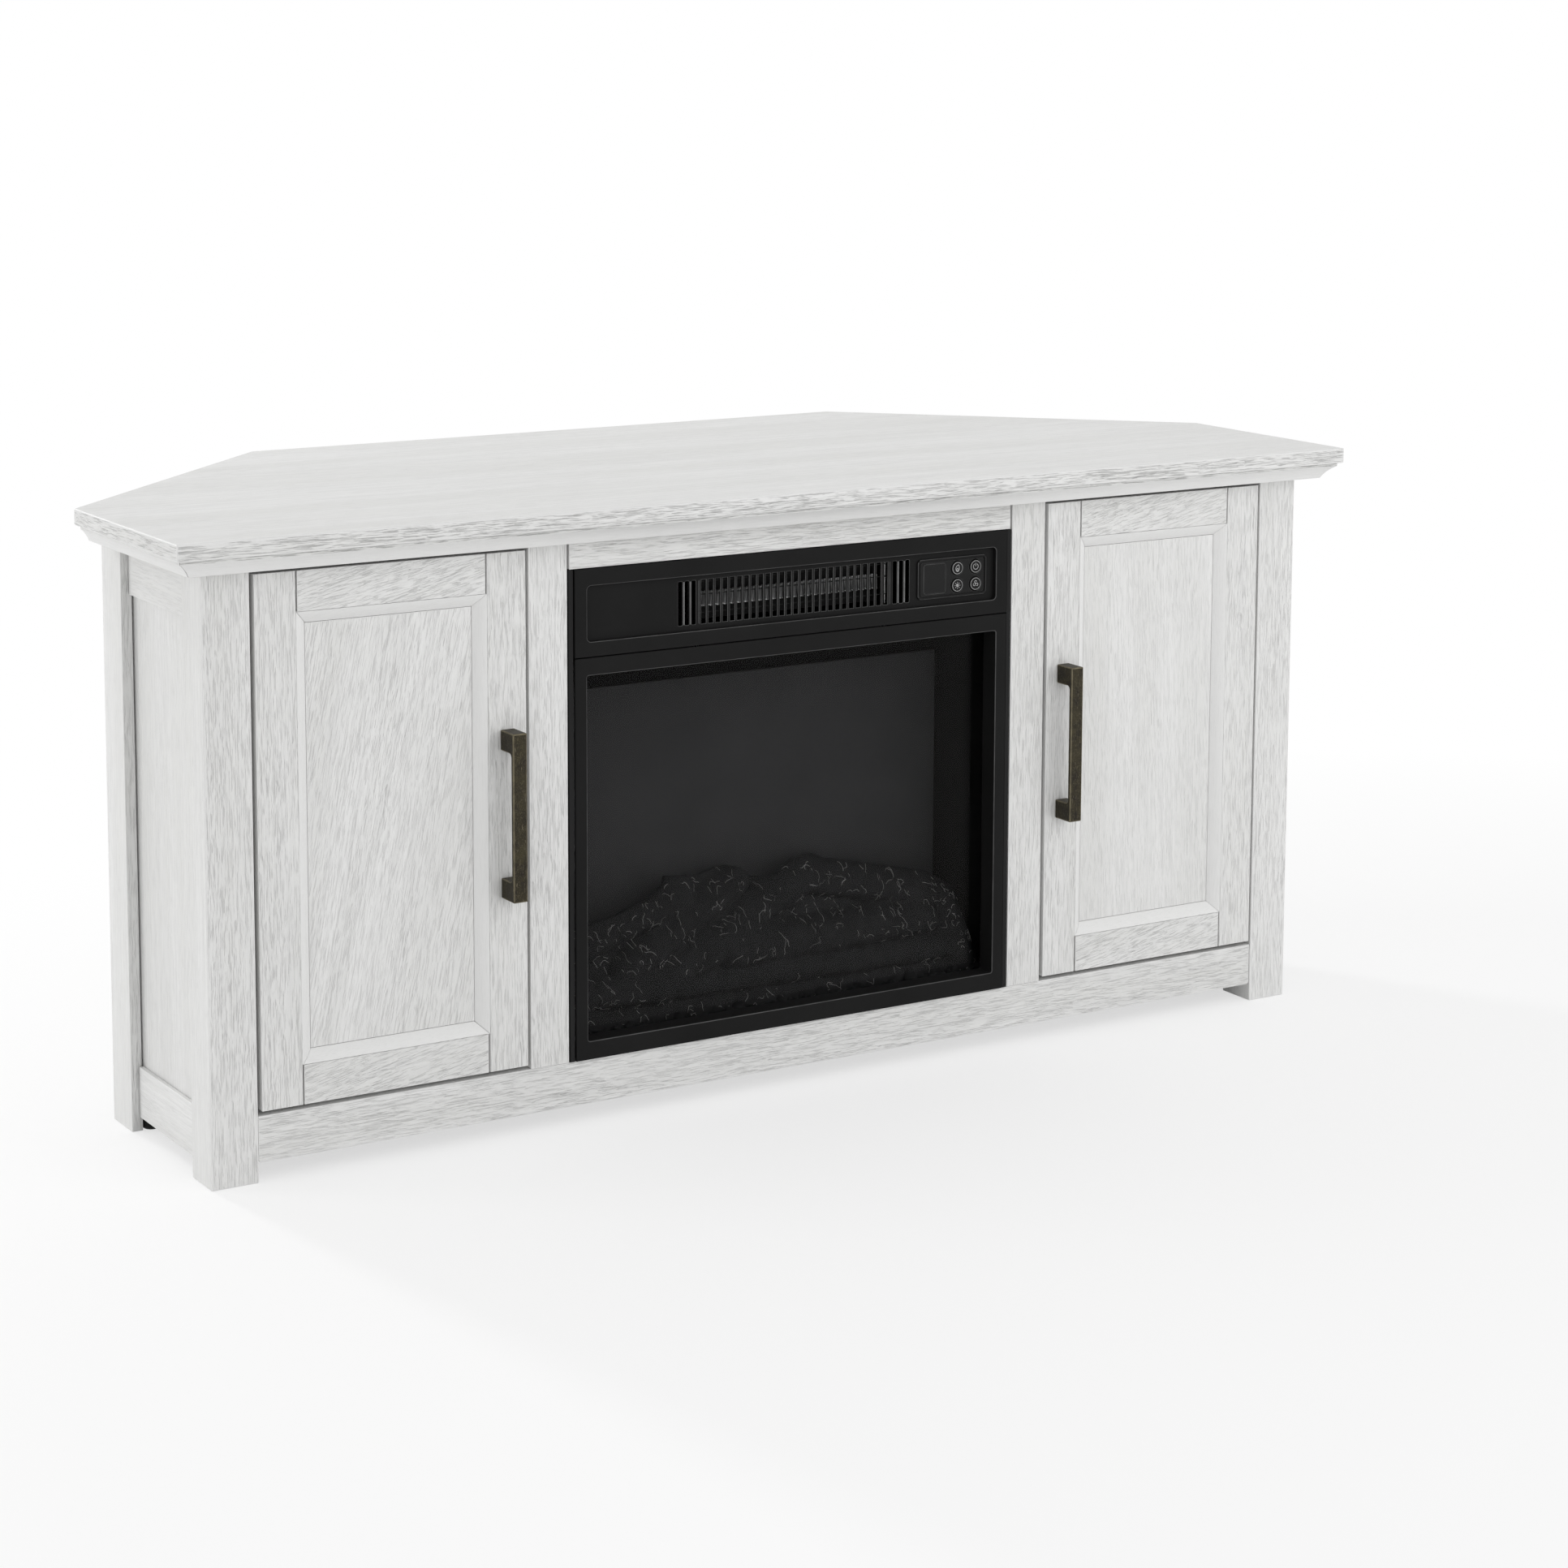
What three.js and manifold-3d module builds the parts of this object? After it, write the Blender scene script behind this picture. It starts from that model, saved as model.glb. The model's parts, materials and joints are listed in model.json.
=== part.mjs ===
// A television stand with angled back corners, two panelled doors and an electric fireplace insert.
// Millimetres, +Z up. The front faces -Y and +X is to the right as the front is seen.
// The sizes count from the floor (z = 0), from the front faces of the legs (y = 0) and from the middle (x = 0).

import * as THREE from "three";
import { mergeVertices } from "three/addons/utils/BufferGeometryUtils.js";
import Module from "manifold-3d";

const wasm = await Module();
wasm.setup();

// Shared clearances
const FIT_GAP = 0.3; // between pieces that meet
const OVERRUN = 2; // how far a cutting shape passes the face it cuts

// Top
const OVERALL_HEIGHT = 556.9;
const TOP_WIDTH = 1219.2;
const TOP_DEPTH = 510.2;
const TOP_THICKNESS = 14.6;
const TOP_FRONT_OVERHANG = 34.2;
const TOP_SIDE_OVERHANG = 33.45; // past the outer faces of the legs
const TOP_SIDE_EDGE = 234.8; // straight part of a side edge, before the angled back corner
const TOP_BACK_EDGE = 657.2; // straight back edge between the two angled corners

// Moulding under the top
const MOULDING_HEIGHT = 15.8;
const MOULDING_REACH = 29.4; // how far it stands out from the legs at its widest
const MOULDING_FOOT = 17.6; // how far its lower edge stands out
const MOULDING_QUIRK_DEPTH = 2.4;
const MOULDING_QUIRK_HEIGHT = 3;
const MOULDING_COVE = 3.2; // hollow of the sloping face
const MOULDING_END_SETBACK = 5.5;

// Legs
const CABINET_WIDTH = TOP_WIDTH - 2 * TOP_SIDE_OVERHANG; // over the outer faces of the legs
const FRONT_LEG_WIDTH = 43.1;
const FRONT_LEG_DEPTH = 42.4;
const SIDE_LEG_START = 182; // from the front faces of the legs to the side leg's front edge
const SIDE_LEG_WIDTH = 44.1;
const SIDE_LEG_THICKNESS = 10.3;
const REAR_LEG_WIDTH = 38;
const REAR_LEG_THICKNESS = 18;

// Rails and side panels
const FRONT_RAIL_BOTTOM = 17;
const FRONT_RAIL_HEIGHT = 40.7;
const FRONT_RAIL_SETBACK = 1.2;
const FRONT_RAIL_THICKNESS = 15;
const FRONT_RAIL_CORNER = 3;
const SIDE_RAIL_SETBACK = 7.2;
const SIDE_RAIL_BOTTOM = 12.8;
const LOWER_SIDE_RAIL_HEIGHT = 46.1;
const UPPER_SIDE_RAIL_HEIGHT = 61.3;
const SIDE_RAIL_END_GAP = 0.8;
const SIDE_PANEL_SETBACK = 12;
const SIDE_PANEL_THICKNESS = 12;

// Bottom, partitions, shelves and back
const BOTTOM_PANEL_THICKNESS = 15;
const PARTITION_THICKNESS = 15;
const PARTITION_STEP = 11.4; // from the divider's insert edge to the partition's face
const SHELF_THICKNESS = 15;
const SHELF_SETBACK = 50;
const SHELF_HEIGHT = 292; // floor to the middle of the shelf
const BACK_INSET = 12.4; // from the edge of the top to the outer face of the back
const BACK_THICKNESS = 5;
const BACK_BOTTOM = 17;
const CABLE_HOLE_RADIUS = 30;
const CABLE_HOLE_HEIGHT = 190;
const VENT_WIDTH = 380;
const VENT_BOTTOM = 92;
const VENT_TOP_MARGIN = 112;
const VENT_CORNER = 20;
const GLIDE_RADIUS = 9;
const GLIDE_ROUND = 4;
const GLIDE_START = 186; // from the front faces of the legs to the glide's middle

// Face frame round the insert
const DIVIDER_WIDTH = 37.8;
const DIVIDER_THICKNESS = 18;
const INSERT_SIDE_GAP = 1.4;
const INSERT_TOP_GAP = 0.6;
const FILLER_SIDE_GAP = 2.3;
const FILLER_HEIGHT = 41.1;
const FILLER_THICKNESS = 15;

// Doors
const DOOR_LEG_GAP = 3.45;
const DOOR_DIVIDER_GAP = 3.3;
const DOOR_BOTTOM_GAP = 4.4;
const DOOR_TOP_GAP = 4.9;
const DOOR_THICKNESS = 16;
const DOOR_PROUD = 1;
const DOOR_STILE = 37.4;
const DOOR_RAIL = 35;
const DOOR_BEVEL = 10.8;
const DOOR_PANEL_RECESS = 8;
const DOOR_PANEL_THICKNESS = 4;

// Handles
const HANDLE_LENGTH = 149.4;
const HANDLE_WIDTH = 13.7;
const HANDLE_REACH = 24.3;
const HANDLE_BAR_THICKNESS = 4;
const HANDLE_POST = 18;
const HANDLE_FILLET = 3.5;

// Hinge arms behind the doors
const HINGE_INSET = 80; // from the door's end to the hinge's middle
const HINGE_ARM_LENGTH = 45;
const HINGE_ARM_HEIGHT = 14;
const HINGE_ARM_THICKNESS = 6;
const HINGE_PLATE_HEIGHT = 50;
const HINGE_PLATE_DEPTH = 20;
const HINGE_PLATE_THICKNESS = 2;

// Insert casing
const INSERT_WIDTH = 470;
const CHASSIS_DEPTH = 140;
const CHASSIS_RIM = 4.3;
const CHASSIS_SHEET = 3;
const CHASSIS_SHELF_DROP = 4; // from the groove under the header down to the inner shelf
const GLAND_RADIUS = 12;
const GLAND_BORE = 5;
const GLAND_LENGTH = 8;
const GLAND_SIDE_INSET = 45;
const GLAND_HEIGHT = 42;

// Header plate of the insert
const PLATE_PROUD = 1.5;
const PLATE_SIDE_GAP = 1.1;
const HEADER_HEIGHT = 78.4;
const HEADER_GROOVE = 0.8;
const HEADER_THICKNESS = 7;
const RECESS_WIDTH = 434.8;
const RECESS_HEIGHT = 49.8;
const RECESS_TOP_MARGIN = 15.2;
const RECESS_DEPTH = 5;
const RECESS_CORNER = 4;
const GRILLE_SLOTS = 27;
const GRILLE_PITCH = 7.45;
const GRILLE_BAR = 2.4;
const GRILLE_HEIGHT = 39.9;
const END_SLOTS = 3;
const END_SLOT_START = 107.1; // from the middle to the first end slot
const END_SLOT_PITCH = 6.85;
const END_SLOT_WIDTH = 2.6;
const CROSS_WIRE_SPACING = 16.3;
const CROSS_WIRE_THICKNESS = 1.6;
const CROSS_WIRE_DEPTH = 2;

// Controls
const CONTROL_WIDTH = 76.7;
const CONTROL_HEIGHT = 37.5;
const CONTROL_THICKNESS = 1.8;
const CONTROL_CORNER = 4;
const CONTROL_SIDE_MARGIN = 9.3; // from the recess's end
const CONTROL_LAND = 2.5; // how far the panel laps the plate round its window
const DISPLAY_WIDTH = 24;
const DISPLAY_HEIGHT = 28.1;
const DISPLAY_MARGIN = 6.5;
const DISPLAY_DEPTH = 0.5;
const DISPLAY_CORNER = 3;
const BUTTON_RADIUS = 6.7;
const BUTTON_MARGIN = 12.6; // from the panel's end to the nearest button's middle
const BUTTON_COLUMN_PITCH = 20.5;
const BUTTON_ROW_PITCH = 16.25;
const BUTTON_PROUD = 1.1;
const BUTTON_FLANGE_REACH = 0.9;
const BUTTON_FLANGE_THICKNESS = 0.8;

// Glass and its frame
const GLASS_FRAME_SIDE = 11.8;
const GLASS_FRAME_BOTTOM = 16.8;
const GLASS_FRAME_TOP = 15.7;
const GLASS_FRAME_FLANGE = 2.5;
const GLASS_FRAME_RETURN = 2.5;
const GLASS_RECESS = 20;
const GLASS_CORNER = 2;
const GLASS_THICKNESS = 4;
const GLASS_LAP = 2.2;

// Firebox
const SCREEN_START = 100; // from the front faces of the legs to the flame screen
const SCREEN_THICKNESS = 3;
const SCREEN_WIDTH = 434;
const SCREEN_TOP_GAP = 43.6; // up to the inner shelf
const BED_FRONT_GAP = 4; // from the glass to the ember bed
const BED_BACK_GAP = 2; // from the ember bed to the flame screen
const BED_SIDE_GAP = 2;
const BED_HEIGHT = 24;
const LOG_PILE_HEIGHT = 137;
const LOG_SIDES = 10;

// Heater and blower behind the grille
const HEATER_HALF_LENGTH = 100;
const HEATER_START = 13;
const HEATER_WAVE = 6;
const HEATER_WAVE_PITCH = 6;
const HEATER_STRIP = 0.8;
const HEATER_HEIGHT = 13;
const HEATER_PLATE_THICKNESS = 2;
const HEATER_PLATE_DEPTH = 16;
const HEATER_PLATE_HEIGHT = 62;
const BLOWER_RADIUS = 24;
const BLOWER_ROOT_RADIUS = 18;
const BLOWER_BLADES = 20;
const BLOWER_HALF_LENGTH = 98;
const BLOWER_START = 72; // from the front faces of the legs to the wheel's axis
const BLOWER_SHAFT = 4;
const BEARING_THICKNESS = 3;
const BEARING_WIDTH = 36;
const BEARING_SIDE_GAP = 4;

// Flame spindle behind the screen
const SPINDLE_START = 121; // from the front faces of the legs to the spindle's axis
const SPINDLE_HEIGHT = 36; // from the casing's floor
const SPINDLE_SHAFT = 3;
const SPINDLE_BOSS = 6;
const SPINDLE_BOSS_LENGTH = 8;
const PETAL_REACH = 12;
const PETAL_THICKNESS = 1;
const PETAL_LENGTH = 26;
const PETALS = 14;

const CURVE_STEPS = 5;
const ROUND_SIDES = 24;

// Logs as [x, y, z, radius] at each end: x in half widths of the bed, y in bed depths from its front,
// z and radius in heights of the log pile.
const LOG_END_SHARES = [
  [[-0.96, 0.68, 0.5, 0.17], [-0.37, 0.6, 0.85, 0.13]],
  [[-0.66, 0.36, 0.29, 0.15], [-0.08, 0.52, 0.86, 0.13]],
  [[0.1, 0.66, 0.83, 0.13], [0.93, 0.7, 0.55, 0.15]],
  [[-0.3, 0.5, 0.6, 0.17], [0.8, 0.4, 0.45, 0.19]],
  [[-0.9, 0.36, 0.22, 0.15], [0.92, 0.34, 0.24, 0.15]],
  [[0.12, 0.78, 0.4, 0.17], [0.3, 0.62, 0.83, 0.13]],
];

// Levels, worked out from the sizes above
const topUnderside = OVERALL_HEIGHT - TOP_THICKNESS;
const carcaseTop = topUnderside - FIT_GAP;
const mouldingBottom = topUnderside - MOULDING_HEIGHT;
const floorLevel = FRONT_RAIL_BOTTOM + FRONT_RAIL_HEIGHT;
const standingLevel = floorLevel + FIT_GAP;
const insertTop = carcaseTop - FILLER_HEIGHT - INSERT_TOP_GAP;
const grooveTop = insertTop - HEADER_HEIGHT;
const recessMiddle = insertTop - RECESS_TOP_MARGIN - RECESS_HEIGHT / 2;

// Places across the width
const topHalf = TOP_WIDTH / 2;
const cabinetHalf = CABINET_WIDTH / 2;
const legInner = cabinetHalf - FRONT_LEG_WIDTH;
const sideLegInner = cabinetHalf - SIDE_LEG_THICKNESS;
const sidePanelOuter = cabinetHalf - SIDE_PANEL_SETBACK;
const sidePanelInner = sidePanelOuter - SIDE_PANEL_THICKNESS;
const insertHalf = INSERT_WIDTH / 2;
const plateHalf = insertHalf - CHASSIS_RIM - PLATE_SIDE_GAP;
const dividerInner = insertHalf + INSERT_SIDE_GAP;
const dividerOuter = dividerInner + DIVIDER_WIDTH;
const partitionInner = dividerInner + PARTITION_STEP;
const partitionOuter = partitionInner + PARTITION_THICKNESS;
const doorInner = dividerOuter + DOOR_DIVIDER_GAP;
const doorOuter = legInner - DOOR_LEG_GAP;

// Places from front to back
const topFront = -TOP_FRONT_OVERHANG;
const topBack = topFront + TOP_DEPTH;
const sideEdgeEnd = topFront + TOP_SIDE_EDGE;
const sideLegRear = SIDE_LEG_START + SIDE_LEG_WIDTH;
const railBack = FRONT_RAIL_SETBACK + FRONT_RAIL_THICKNESS;
const backOuter = topBack - BACK_INSET;
const backInner = backOuter - BACK_THICKNESS;
const doorFront = -DOOR_PROUD;
const doorBack = doorFront + DOOR_THICKNESS;
const plateFront = -PLATE_PROUD;

// Finishes
const finish = (color, roughness, metalness = 0) => new THREE.MeshStandardMaterial({ color, roughness, metalness });
const oak = () => finish(0xd6d3cf, 0.6);
const blackMetal = () => finish(0x1d1d1d, 0.55, 0.2);
const bronze = () => finish(0x3a332b, 0.45, 0.7);
const steel = () => finish(0xa8a9ab, 0.35, 0.9);
const glass = () => finish(0x202123, 0.08);
const plastic = () => finish(0x141414, 0.4);
const ember = () => finish(0x1e1e1e, 0.8);

/** Six times the volume that a triangle list encloses, negative where the faces point inwards. */
function sixVolumes(points, corners) {
  const at = (i) => new THREE.Vector3().fromArray(points, corners[i] * 3);
  let sum = 0;
  for (let i = 0; i < corners.length; i += 3) sum += at(i).dot(at(i + 1).cross(at(i + 2)));
  return sum;
}

/** A solid from a closed geometry, its shared corners merged and its faces turned outwards. */
function toSolid(geometry) {
  const bare = geometry.index ? geometry.toNonIndexed() : geometry.clone();
  bare.deleteAttribute("normal");
  bare.deleteAttribute("uv");
  const merged = mergeVertices(bare);
  const vertProperties = merged.attributes.position.array;
  const triVerts = new Uint32Array(merged.index.array);
  if (sixVolumes(vertProperties, triVerts) < 0) triVerts.reverse();
  return new wasm.Manifold(new wasm.Mesh({ numProp: 3, vertProperties, triVerts }));
}

/** A geometry for a mesh from a solid. */
function toGeometry(solid) {
  const { vertProperties, triVerts } = solid.getMesh();
  const geometry = new THREE.BufferGeometry();
  geometry.setAttribute("position", new THREE.BufferAttribute(vertProperties, 3));
  geometry.setIndex(new THREE.BufferAttribute(triVerts, 1));
  geometry.computeVertexNormals();
  return geometry;
}

const joined = (first, ...others) => others.reduce((sum, other) => sum.add(other), first);
const cut = (body, ...tools) => tools.reduce((rest, tool) => rest.subtract(tool), body);

/** A box between two values on each axis, given in either order. */
function block(x0, x1, y0, y1, z0, z1) {
  const geometry = new THREE.BoxGeometry(Math.abs(x1 - x0), Math.abs(y1 - y0), Math.abs(z1 - z0));
  geometry.translate((x0 + x1) / 2, (y0 + y1) / 2, (z0 + z1) / 2);
  return toSolid(geometry);
}

/** A flat shape given a depth, each of its points then put in place by a rule of (a, b, depth). */
function extruded(shape, depth, place) {
  const geometry = new THREE.ExtrudeGeometry(shape, { depth, bevelEnabled: false, curveSegments: CURVE_STEPS });
  const position = geometry.attributes.position;
  for (let i = 0; i < position.count; i++) {
    position.setXYZ(i, ...place(position.getX(i), position.getY(i), position.getZ(i)));
  }
  return toSolid(geometry);
}

const outline = (points) => new THREE.Shape(points.map(([a, b]) => new THREE.Vector2(a, b)));
const planPlate = (shape, z0, z1) => extruded(shape, z1 - z0, (x, y, t) => [x, y, z0 + t]);
const facePlate = (shape, y0, y1) => extruded(shape, y1 - y0, (x, z, t) => [x, y0 + t, z]);
const crossBar = (shape, x0, x1) => extruded(shape, x1 - x0, (y, z, t) => [x0 + t, y, z]);

/** A rectangle with rounded corners, traced into a shape or a path. */
function roundedRectangle(x0, x1, z0, z1, radius, path = new THREE.Shape()) {
  const turn = Math.PI / 2;
  path.moveTo(x0 + radius, z0);
  path.absarc(x1 - radius, z0 + radius, radius, -turn, 0, false);
  path.absarc(x1 - radius, z1 - radius, radius, 0, turn, false);
  path.absarc(x0 + radius, z1 - radius, radius, turn, 2 * turn, false);
  path.absarc(x0 + radius, z0 + radius, radius, 2 * turn, 3 * turn, false);
  path.closePath();
  return path;
}

/** A round bar between two points, with a radius at each end. */
function roundBar(start, end, startRadius, endRadius = startRadius, sides = ROUND_SIDES) {
  const run = new THREE.Vector3().subVectors(end, start);
  const geometry = new THREE.CylinderGeometry(endRadius, startRadius, run.length(), sides);
  const turn = new THREE.Quaternion().setFromUnitVectors(new THREE.Vector3(0, 1, 0), run.clone().normalize());
  const middle = new THREE.Vector3().addVectors(start, end).multiplyScalar(1 / 2);
  geometry.applyQuaternion(turn).translate(middle.x, middle.y, middle.z);
  return toSolid(geometry);
}

const roundAlongX = (x0, x1, y, z, radius) => roundBar(new THREE.Vector3(x0, y, z), new THREE.Vector3(x1, y, z), radius);
const roundAlongY = (x, y0, y1, z, radius) => roundBar(new THREE.Vector3(x, y0, z), new THREE.Vector3(x, y1, z), radius);

const stand = new THREE.Group();
stand.position.y = -(topFront + topBack) / 2; // the origin is under the middle of the top

/** Adds one named piece to the stand. */
function addPiece(name, solid, material) {
  const mesh = new THREE.Mesh(toGeometry(solid), material);
  mesh.name = name;
  stand.add(mesh);
}

const SIDES = [
  { hand: "left", sign: -1 },
  { hand: "right", sign: 1 },
];

// The angled back corner on the right: u runs from the end of the side edge towards the back edge,
// v is the distance inside the edge.
const angledRun = new THREE.Vector2(TOP_BACK_EDGE / 2 - topHalf, topBack - sideEdgeEnd).normalize();
const angledOut = new THREE.Vector2(angledRun.y, -angledRun.x);
const alongBack = (u, v) => [
  topHalf + u * angledRun.x - v * angledOut.x,
  sideEdgeEnd + u * angledRun.y - v * angledOut.y,
];
const runAt = (x, y) => (x - topHalf) * angledRun.x + (y - sideEdgeEnd) * angledRun.y;
const runAtDepth = (v, y) => (y - sideEdgeEnd + v * angledOut.y) / angledRun.y;
const depthAtInset = (x, v) => sideEdgeEnd - (v + (x - topHalf) * angledOut.x) / angledOut.y;
const mirrored = (points, sign) => outline(points.map(([x, y]) => [sign * x, y]));

const cornerRun = runAtDepth(BACK_INSET, backOuter);
const cornerX = alongBack(cornerRun, BACK_INSET)[0];
const rearLegRun = cornerRun - REAR_LEG_WIDTH;
const rearLegInset = BACK_INSET + REAR_LEG_THICKNESS;
const rearLegInner = backOuter - REAR_LEG_THICKNESS;
const rearLegEnd = cornerX - REAR_LEG_WIDTH;
const angledStart = runAt(sideLegInner, sideLegRear) + FIT_GAP;
const angledInner = BACK_INSET + BACK_THICKNESS + FIT_GAP;
const rearLegFront = alongBack(rearLegRun, rearLegInset)[1];

/** The top: straight front and sides, angled back corners. */
function makeTop() {
  const points = [
    [-topHalf, topFront],
    [topHalf, topFront],
    [topHalf, sideEdgeEnd],
    [TOP_BACK_EDGE / 2, topBack],
    [-TOP_BACK_EDGE / 2, topBack],
    [-topHalf, sideEdgeEnd],
  ];
  addPiece("top_panel", planPlate(outline(points), topUnderside, OVERALL_HEIGHT), oak());
}

/** The moulding's section: a is how far it stands out from the legs, b is its height above the floor. */
function mouldingSection() {
  const shelfLevel = carcaseTop - MOULDING_QUIRK_HEIGHT;
  const section = new THREE.Shape();
  section.moveTo(FIT_GAP, mouldingBottom);
  section.lineTo(MOULDING_FOOT, mouldingBottom);
  section.quadraticCurveTo(
    (MOULDING_FOOT + MOULDING_REACH) / 2 - MOULDING_COVE / 2,
    (mouldingBottom + shelfLevel) / 2 + MOULDING_COVE / 2,
    MOULDING_REACH,
    shelfLevel,
  );
  section.lineTo(MOULDING_REACH - MOULDING_QUIRK_DEPTH, shelfLevel);
  section.lineTo(MOULDING_REACH - MOULDING_QUIRK_DEPTH, carcaseTop);
  section.lineTo(FIT_GAP, carcaseTop);
  section.closePath();
  return section;
}

/** Three strips of moulding, mitred at the front corners and cut at the back along the angled corners. */
function makeMouldings() {
  const frontEnd = (out) => cabinetHalf + out - FIT_GAP;
  addPiece(
    "front_moulding",
    extruded(mouldingSection(), 1, (out, z, end) => [(end ? 1 : -1) * frontEnd(out), -out, z]),
    oak(),
  );
  for (const { hand, sign } of SIDES) {
    const rearEnd = (out) => depthAtInset(cabinetHalf + out, MOULDING_END_SETBACK);
    addPiece(
      `${hand}_moulding`,
      extruded(mouldingSection(), 1, (out, z, end) => [
        sign * (cabinetHalf + out),
        end ? rearEnd(out) : FIT_GAP - out,
        z,
      ]),
      oak(),
    );
  }
}

/** Front, side and rear legs, all from the floor to the top. */
function makeLegs() {
  const rearLegPlan = [
    alongBack(cornerRun, BACK_INSET),
    alongBack(rearLegRun, BACK_INSET),
    alongBack(rearLegRun, rearLegInset),
    alongBack(runAtDepth(rearLegInset, rearLegInner), rearLegInset),
    [rearLegEnd, rearLegInner],
    [rearLegEnd, backOuter],
  ];
  for (const { hand, sign } of SIDES) {
    addPiece(
      `${hand}_front_leg`,
      block(sign * legInner, sign * cabinetHalf, 0, FRONT_LEG_DEPTH, 0, carcaseTop),
      oak(),
    );
    addPiece(
      `${hand}_side_leg`,
      block(sign * sideLegInner, sign * cabinetHalf, SIDE_LEG_START, sideLegRear, 0, carcaseTop),
      oak(),
    );
    addPiece(`${hand}_rear_leg`, planPlate(mirrored(rearLegPlan, sign), 0, carcaseTop), oak());
  }
}

/** The rail under the doors, with its lower end corners rounded. */
function makeFrontRail() {
  const end = legInner - FIT_GAP;
  const turn = Math.PI / 2;
  const shape = new THREE.Shape();
  shape.moveTo(-end, floorLevel);
  shape.lineTo(-end, FRONT_RAIL_BOTTOM + FRONT_RAIL_CORNER);
  shape.absarc(-end + FRONT_RAIL_CORNER, FRONT_RAIL_BOTTOM + FRONT_RAIL_CORNER, FRONT_RAIL_CORNER, 2 * turn, 3 * turn);
  shape.absarc(end - FRONT_RAIL_CORNER, FRONT_RAIL_BOTTOM + FRONT_RAIL_CORNER, FRONT_RAIL_CORNER, -turn, 0);
  shape.lineTo(end, floorLevel);
  shape.closePath();
  addPiece("front_bottom_rail", facePlate(shape, FRONT_RAIL_SETBACK, railBack), oak());
}

/** Side panels with a rail applied at the top and the bottom, and a glide under each. */
function makeSides() {
  const panelRear = alongBack(angledStart, BACK_INSET + BACK_THICKNESS)[1] - FIT_GAP;
  const panelFront = FRONT_LEG_DEPTH + FIT_GAP;
  const railEnd = SIDE_LEG_START - SIDE_RAIL_END_GAP;
  const railFace = cabinetHalf - SIDE_RAIL_SETBACK;
  const railSeat = sidePanelOuter + FIT_GAP;
  const glideTop = SIDE_RAIL_BOTTOM - FIT_GAP;
  for (const { hand, sign } of SIDES) {
    addPiece(
      `${hand}_side_panel`,
      block(sign * sidePanelInner, sign * sidePanelOuter, panelFront, panelRear, SIDE_RAIL_BOTTOM, carcaseTop),
      oak(),
    );
    addPiece(
      `${hand}_upper_side_rail`,
      block(
        sign * railSeat,
        sign * railFace,
        panelFront,
        railEnd,
        topUnderside - UPPER_SIDE_RAIL_HEIGHT,
        carcaseTop,
      ),
      oak(),
    );
    addPiece(
      `${hand}_lower_side_rail`,
      block(
        sign * railSeat,
        sign * railFace,
        panelFront,
        railEnd,
        SIDE_RAIL_BOTTOM,
        SIDE_RAIL_BOTTOM + LOWER_SIDE_RAIL_HEIGHT,
      ),
      oak(),
    );
    const glideX = sign * (sideLegInner - FIT_GAP - GLIDE_RADIUS);
    const profile = new THREE.Path();
    profile.moveTo(0, 0);
    profile.lineTo(GLIDE_RADIUS - GLIDE_ROUND, 0);
    profile.absarc(GLIDE_RADIUS - GLIDE_ROUND, GLIDE_ROUND, GLIDE_ROUND, -Math.PI / 2, 0);
    profile.lineTo(GLIDE_RADIUS, glideTop);
    profile.lineTo(0, glideTop);
    const turned = new THREE.LatheGeometry(profile.getPoints(CURVE_STEPS), ROUND_SIDES);
    turned.rotateX(Math.PI / 2).translate(glideX, GLIDE_START, 0);
    addPiece(`${hand}_glide`, toSolid(turned), plastic());
  }
}

/** The bottom, notched round the legs. */
function makeBottom() {
  const right = [
    [legInner - FIT_GAP, railBack + FIT_GAP],
    [legInner - FIT_GAP, FRONT_LEG_DEPTH + FIT_GAP],
    [sidePanelInner - FIT_GAP, FRONT_LEG_DEPTH + FIT_GAP],
    [sidePanelInner - FIT_GAP, depthAtInset(sidePanelInner - FIT_GAP, angledInner)],
    alongBack(rearLegRun - FIT_GAP, angledInner),
    alongBack(rearLegRun - FIT_GAP, rearLegInset + FIT_GAP),
    alongBack(runAtDepth(rearLegInset + FIT_GAP, rearLegInner - FIT_GAP), rearLegInset + FIT_GAP),
    [rearLegEnd - FIT_GAP, rearLegInner - FIT_GAP],
    [rearLegEnd - FIT_GAP, backInner - FIT_GAP],
  ];
  const left = right.map(([x, y]) => [-x, y]).reverse();
  addPiece(
    "bottom_panel",
    planPlate(outline([...right, ...left]), floorLevel - BOTTOM_PANEL_THICKNESS, floorLevel),
    oak(),
  );
}

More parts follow.
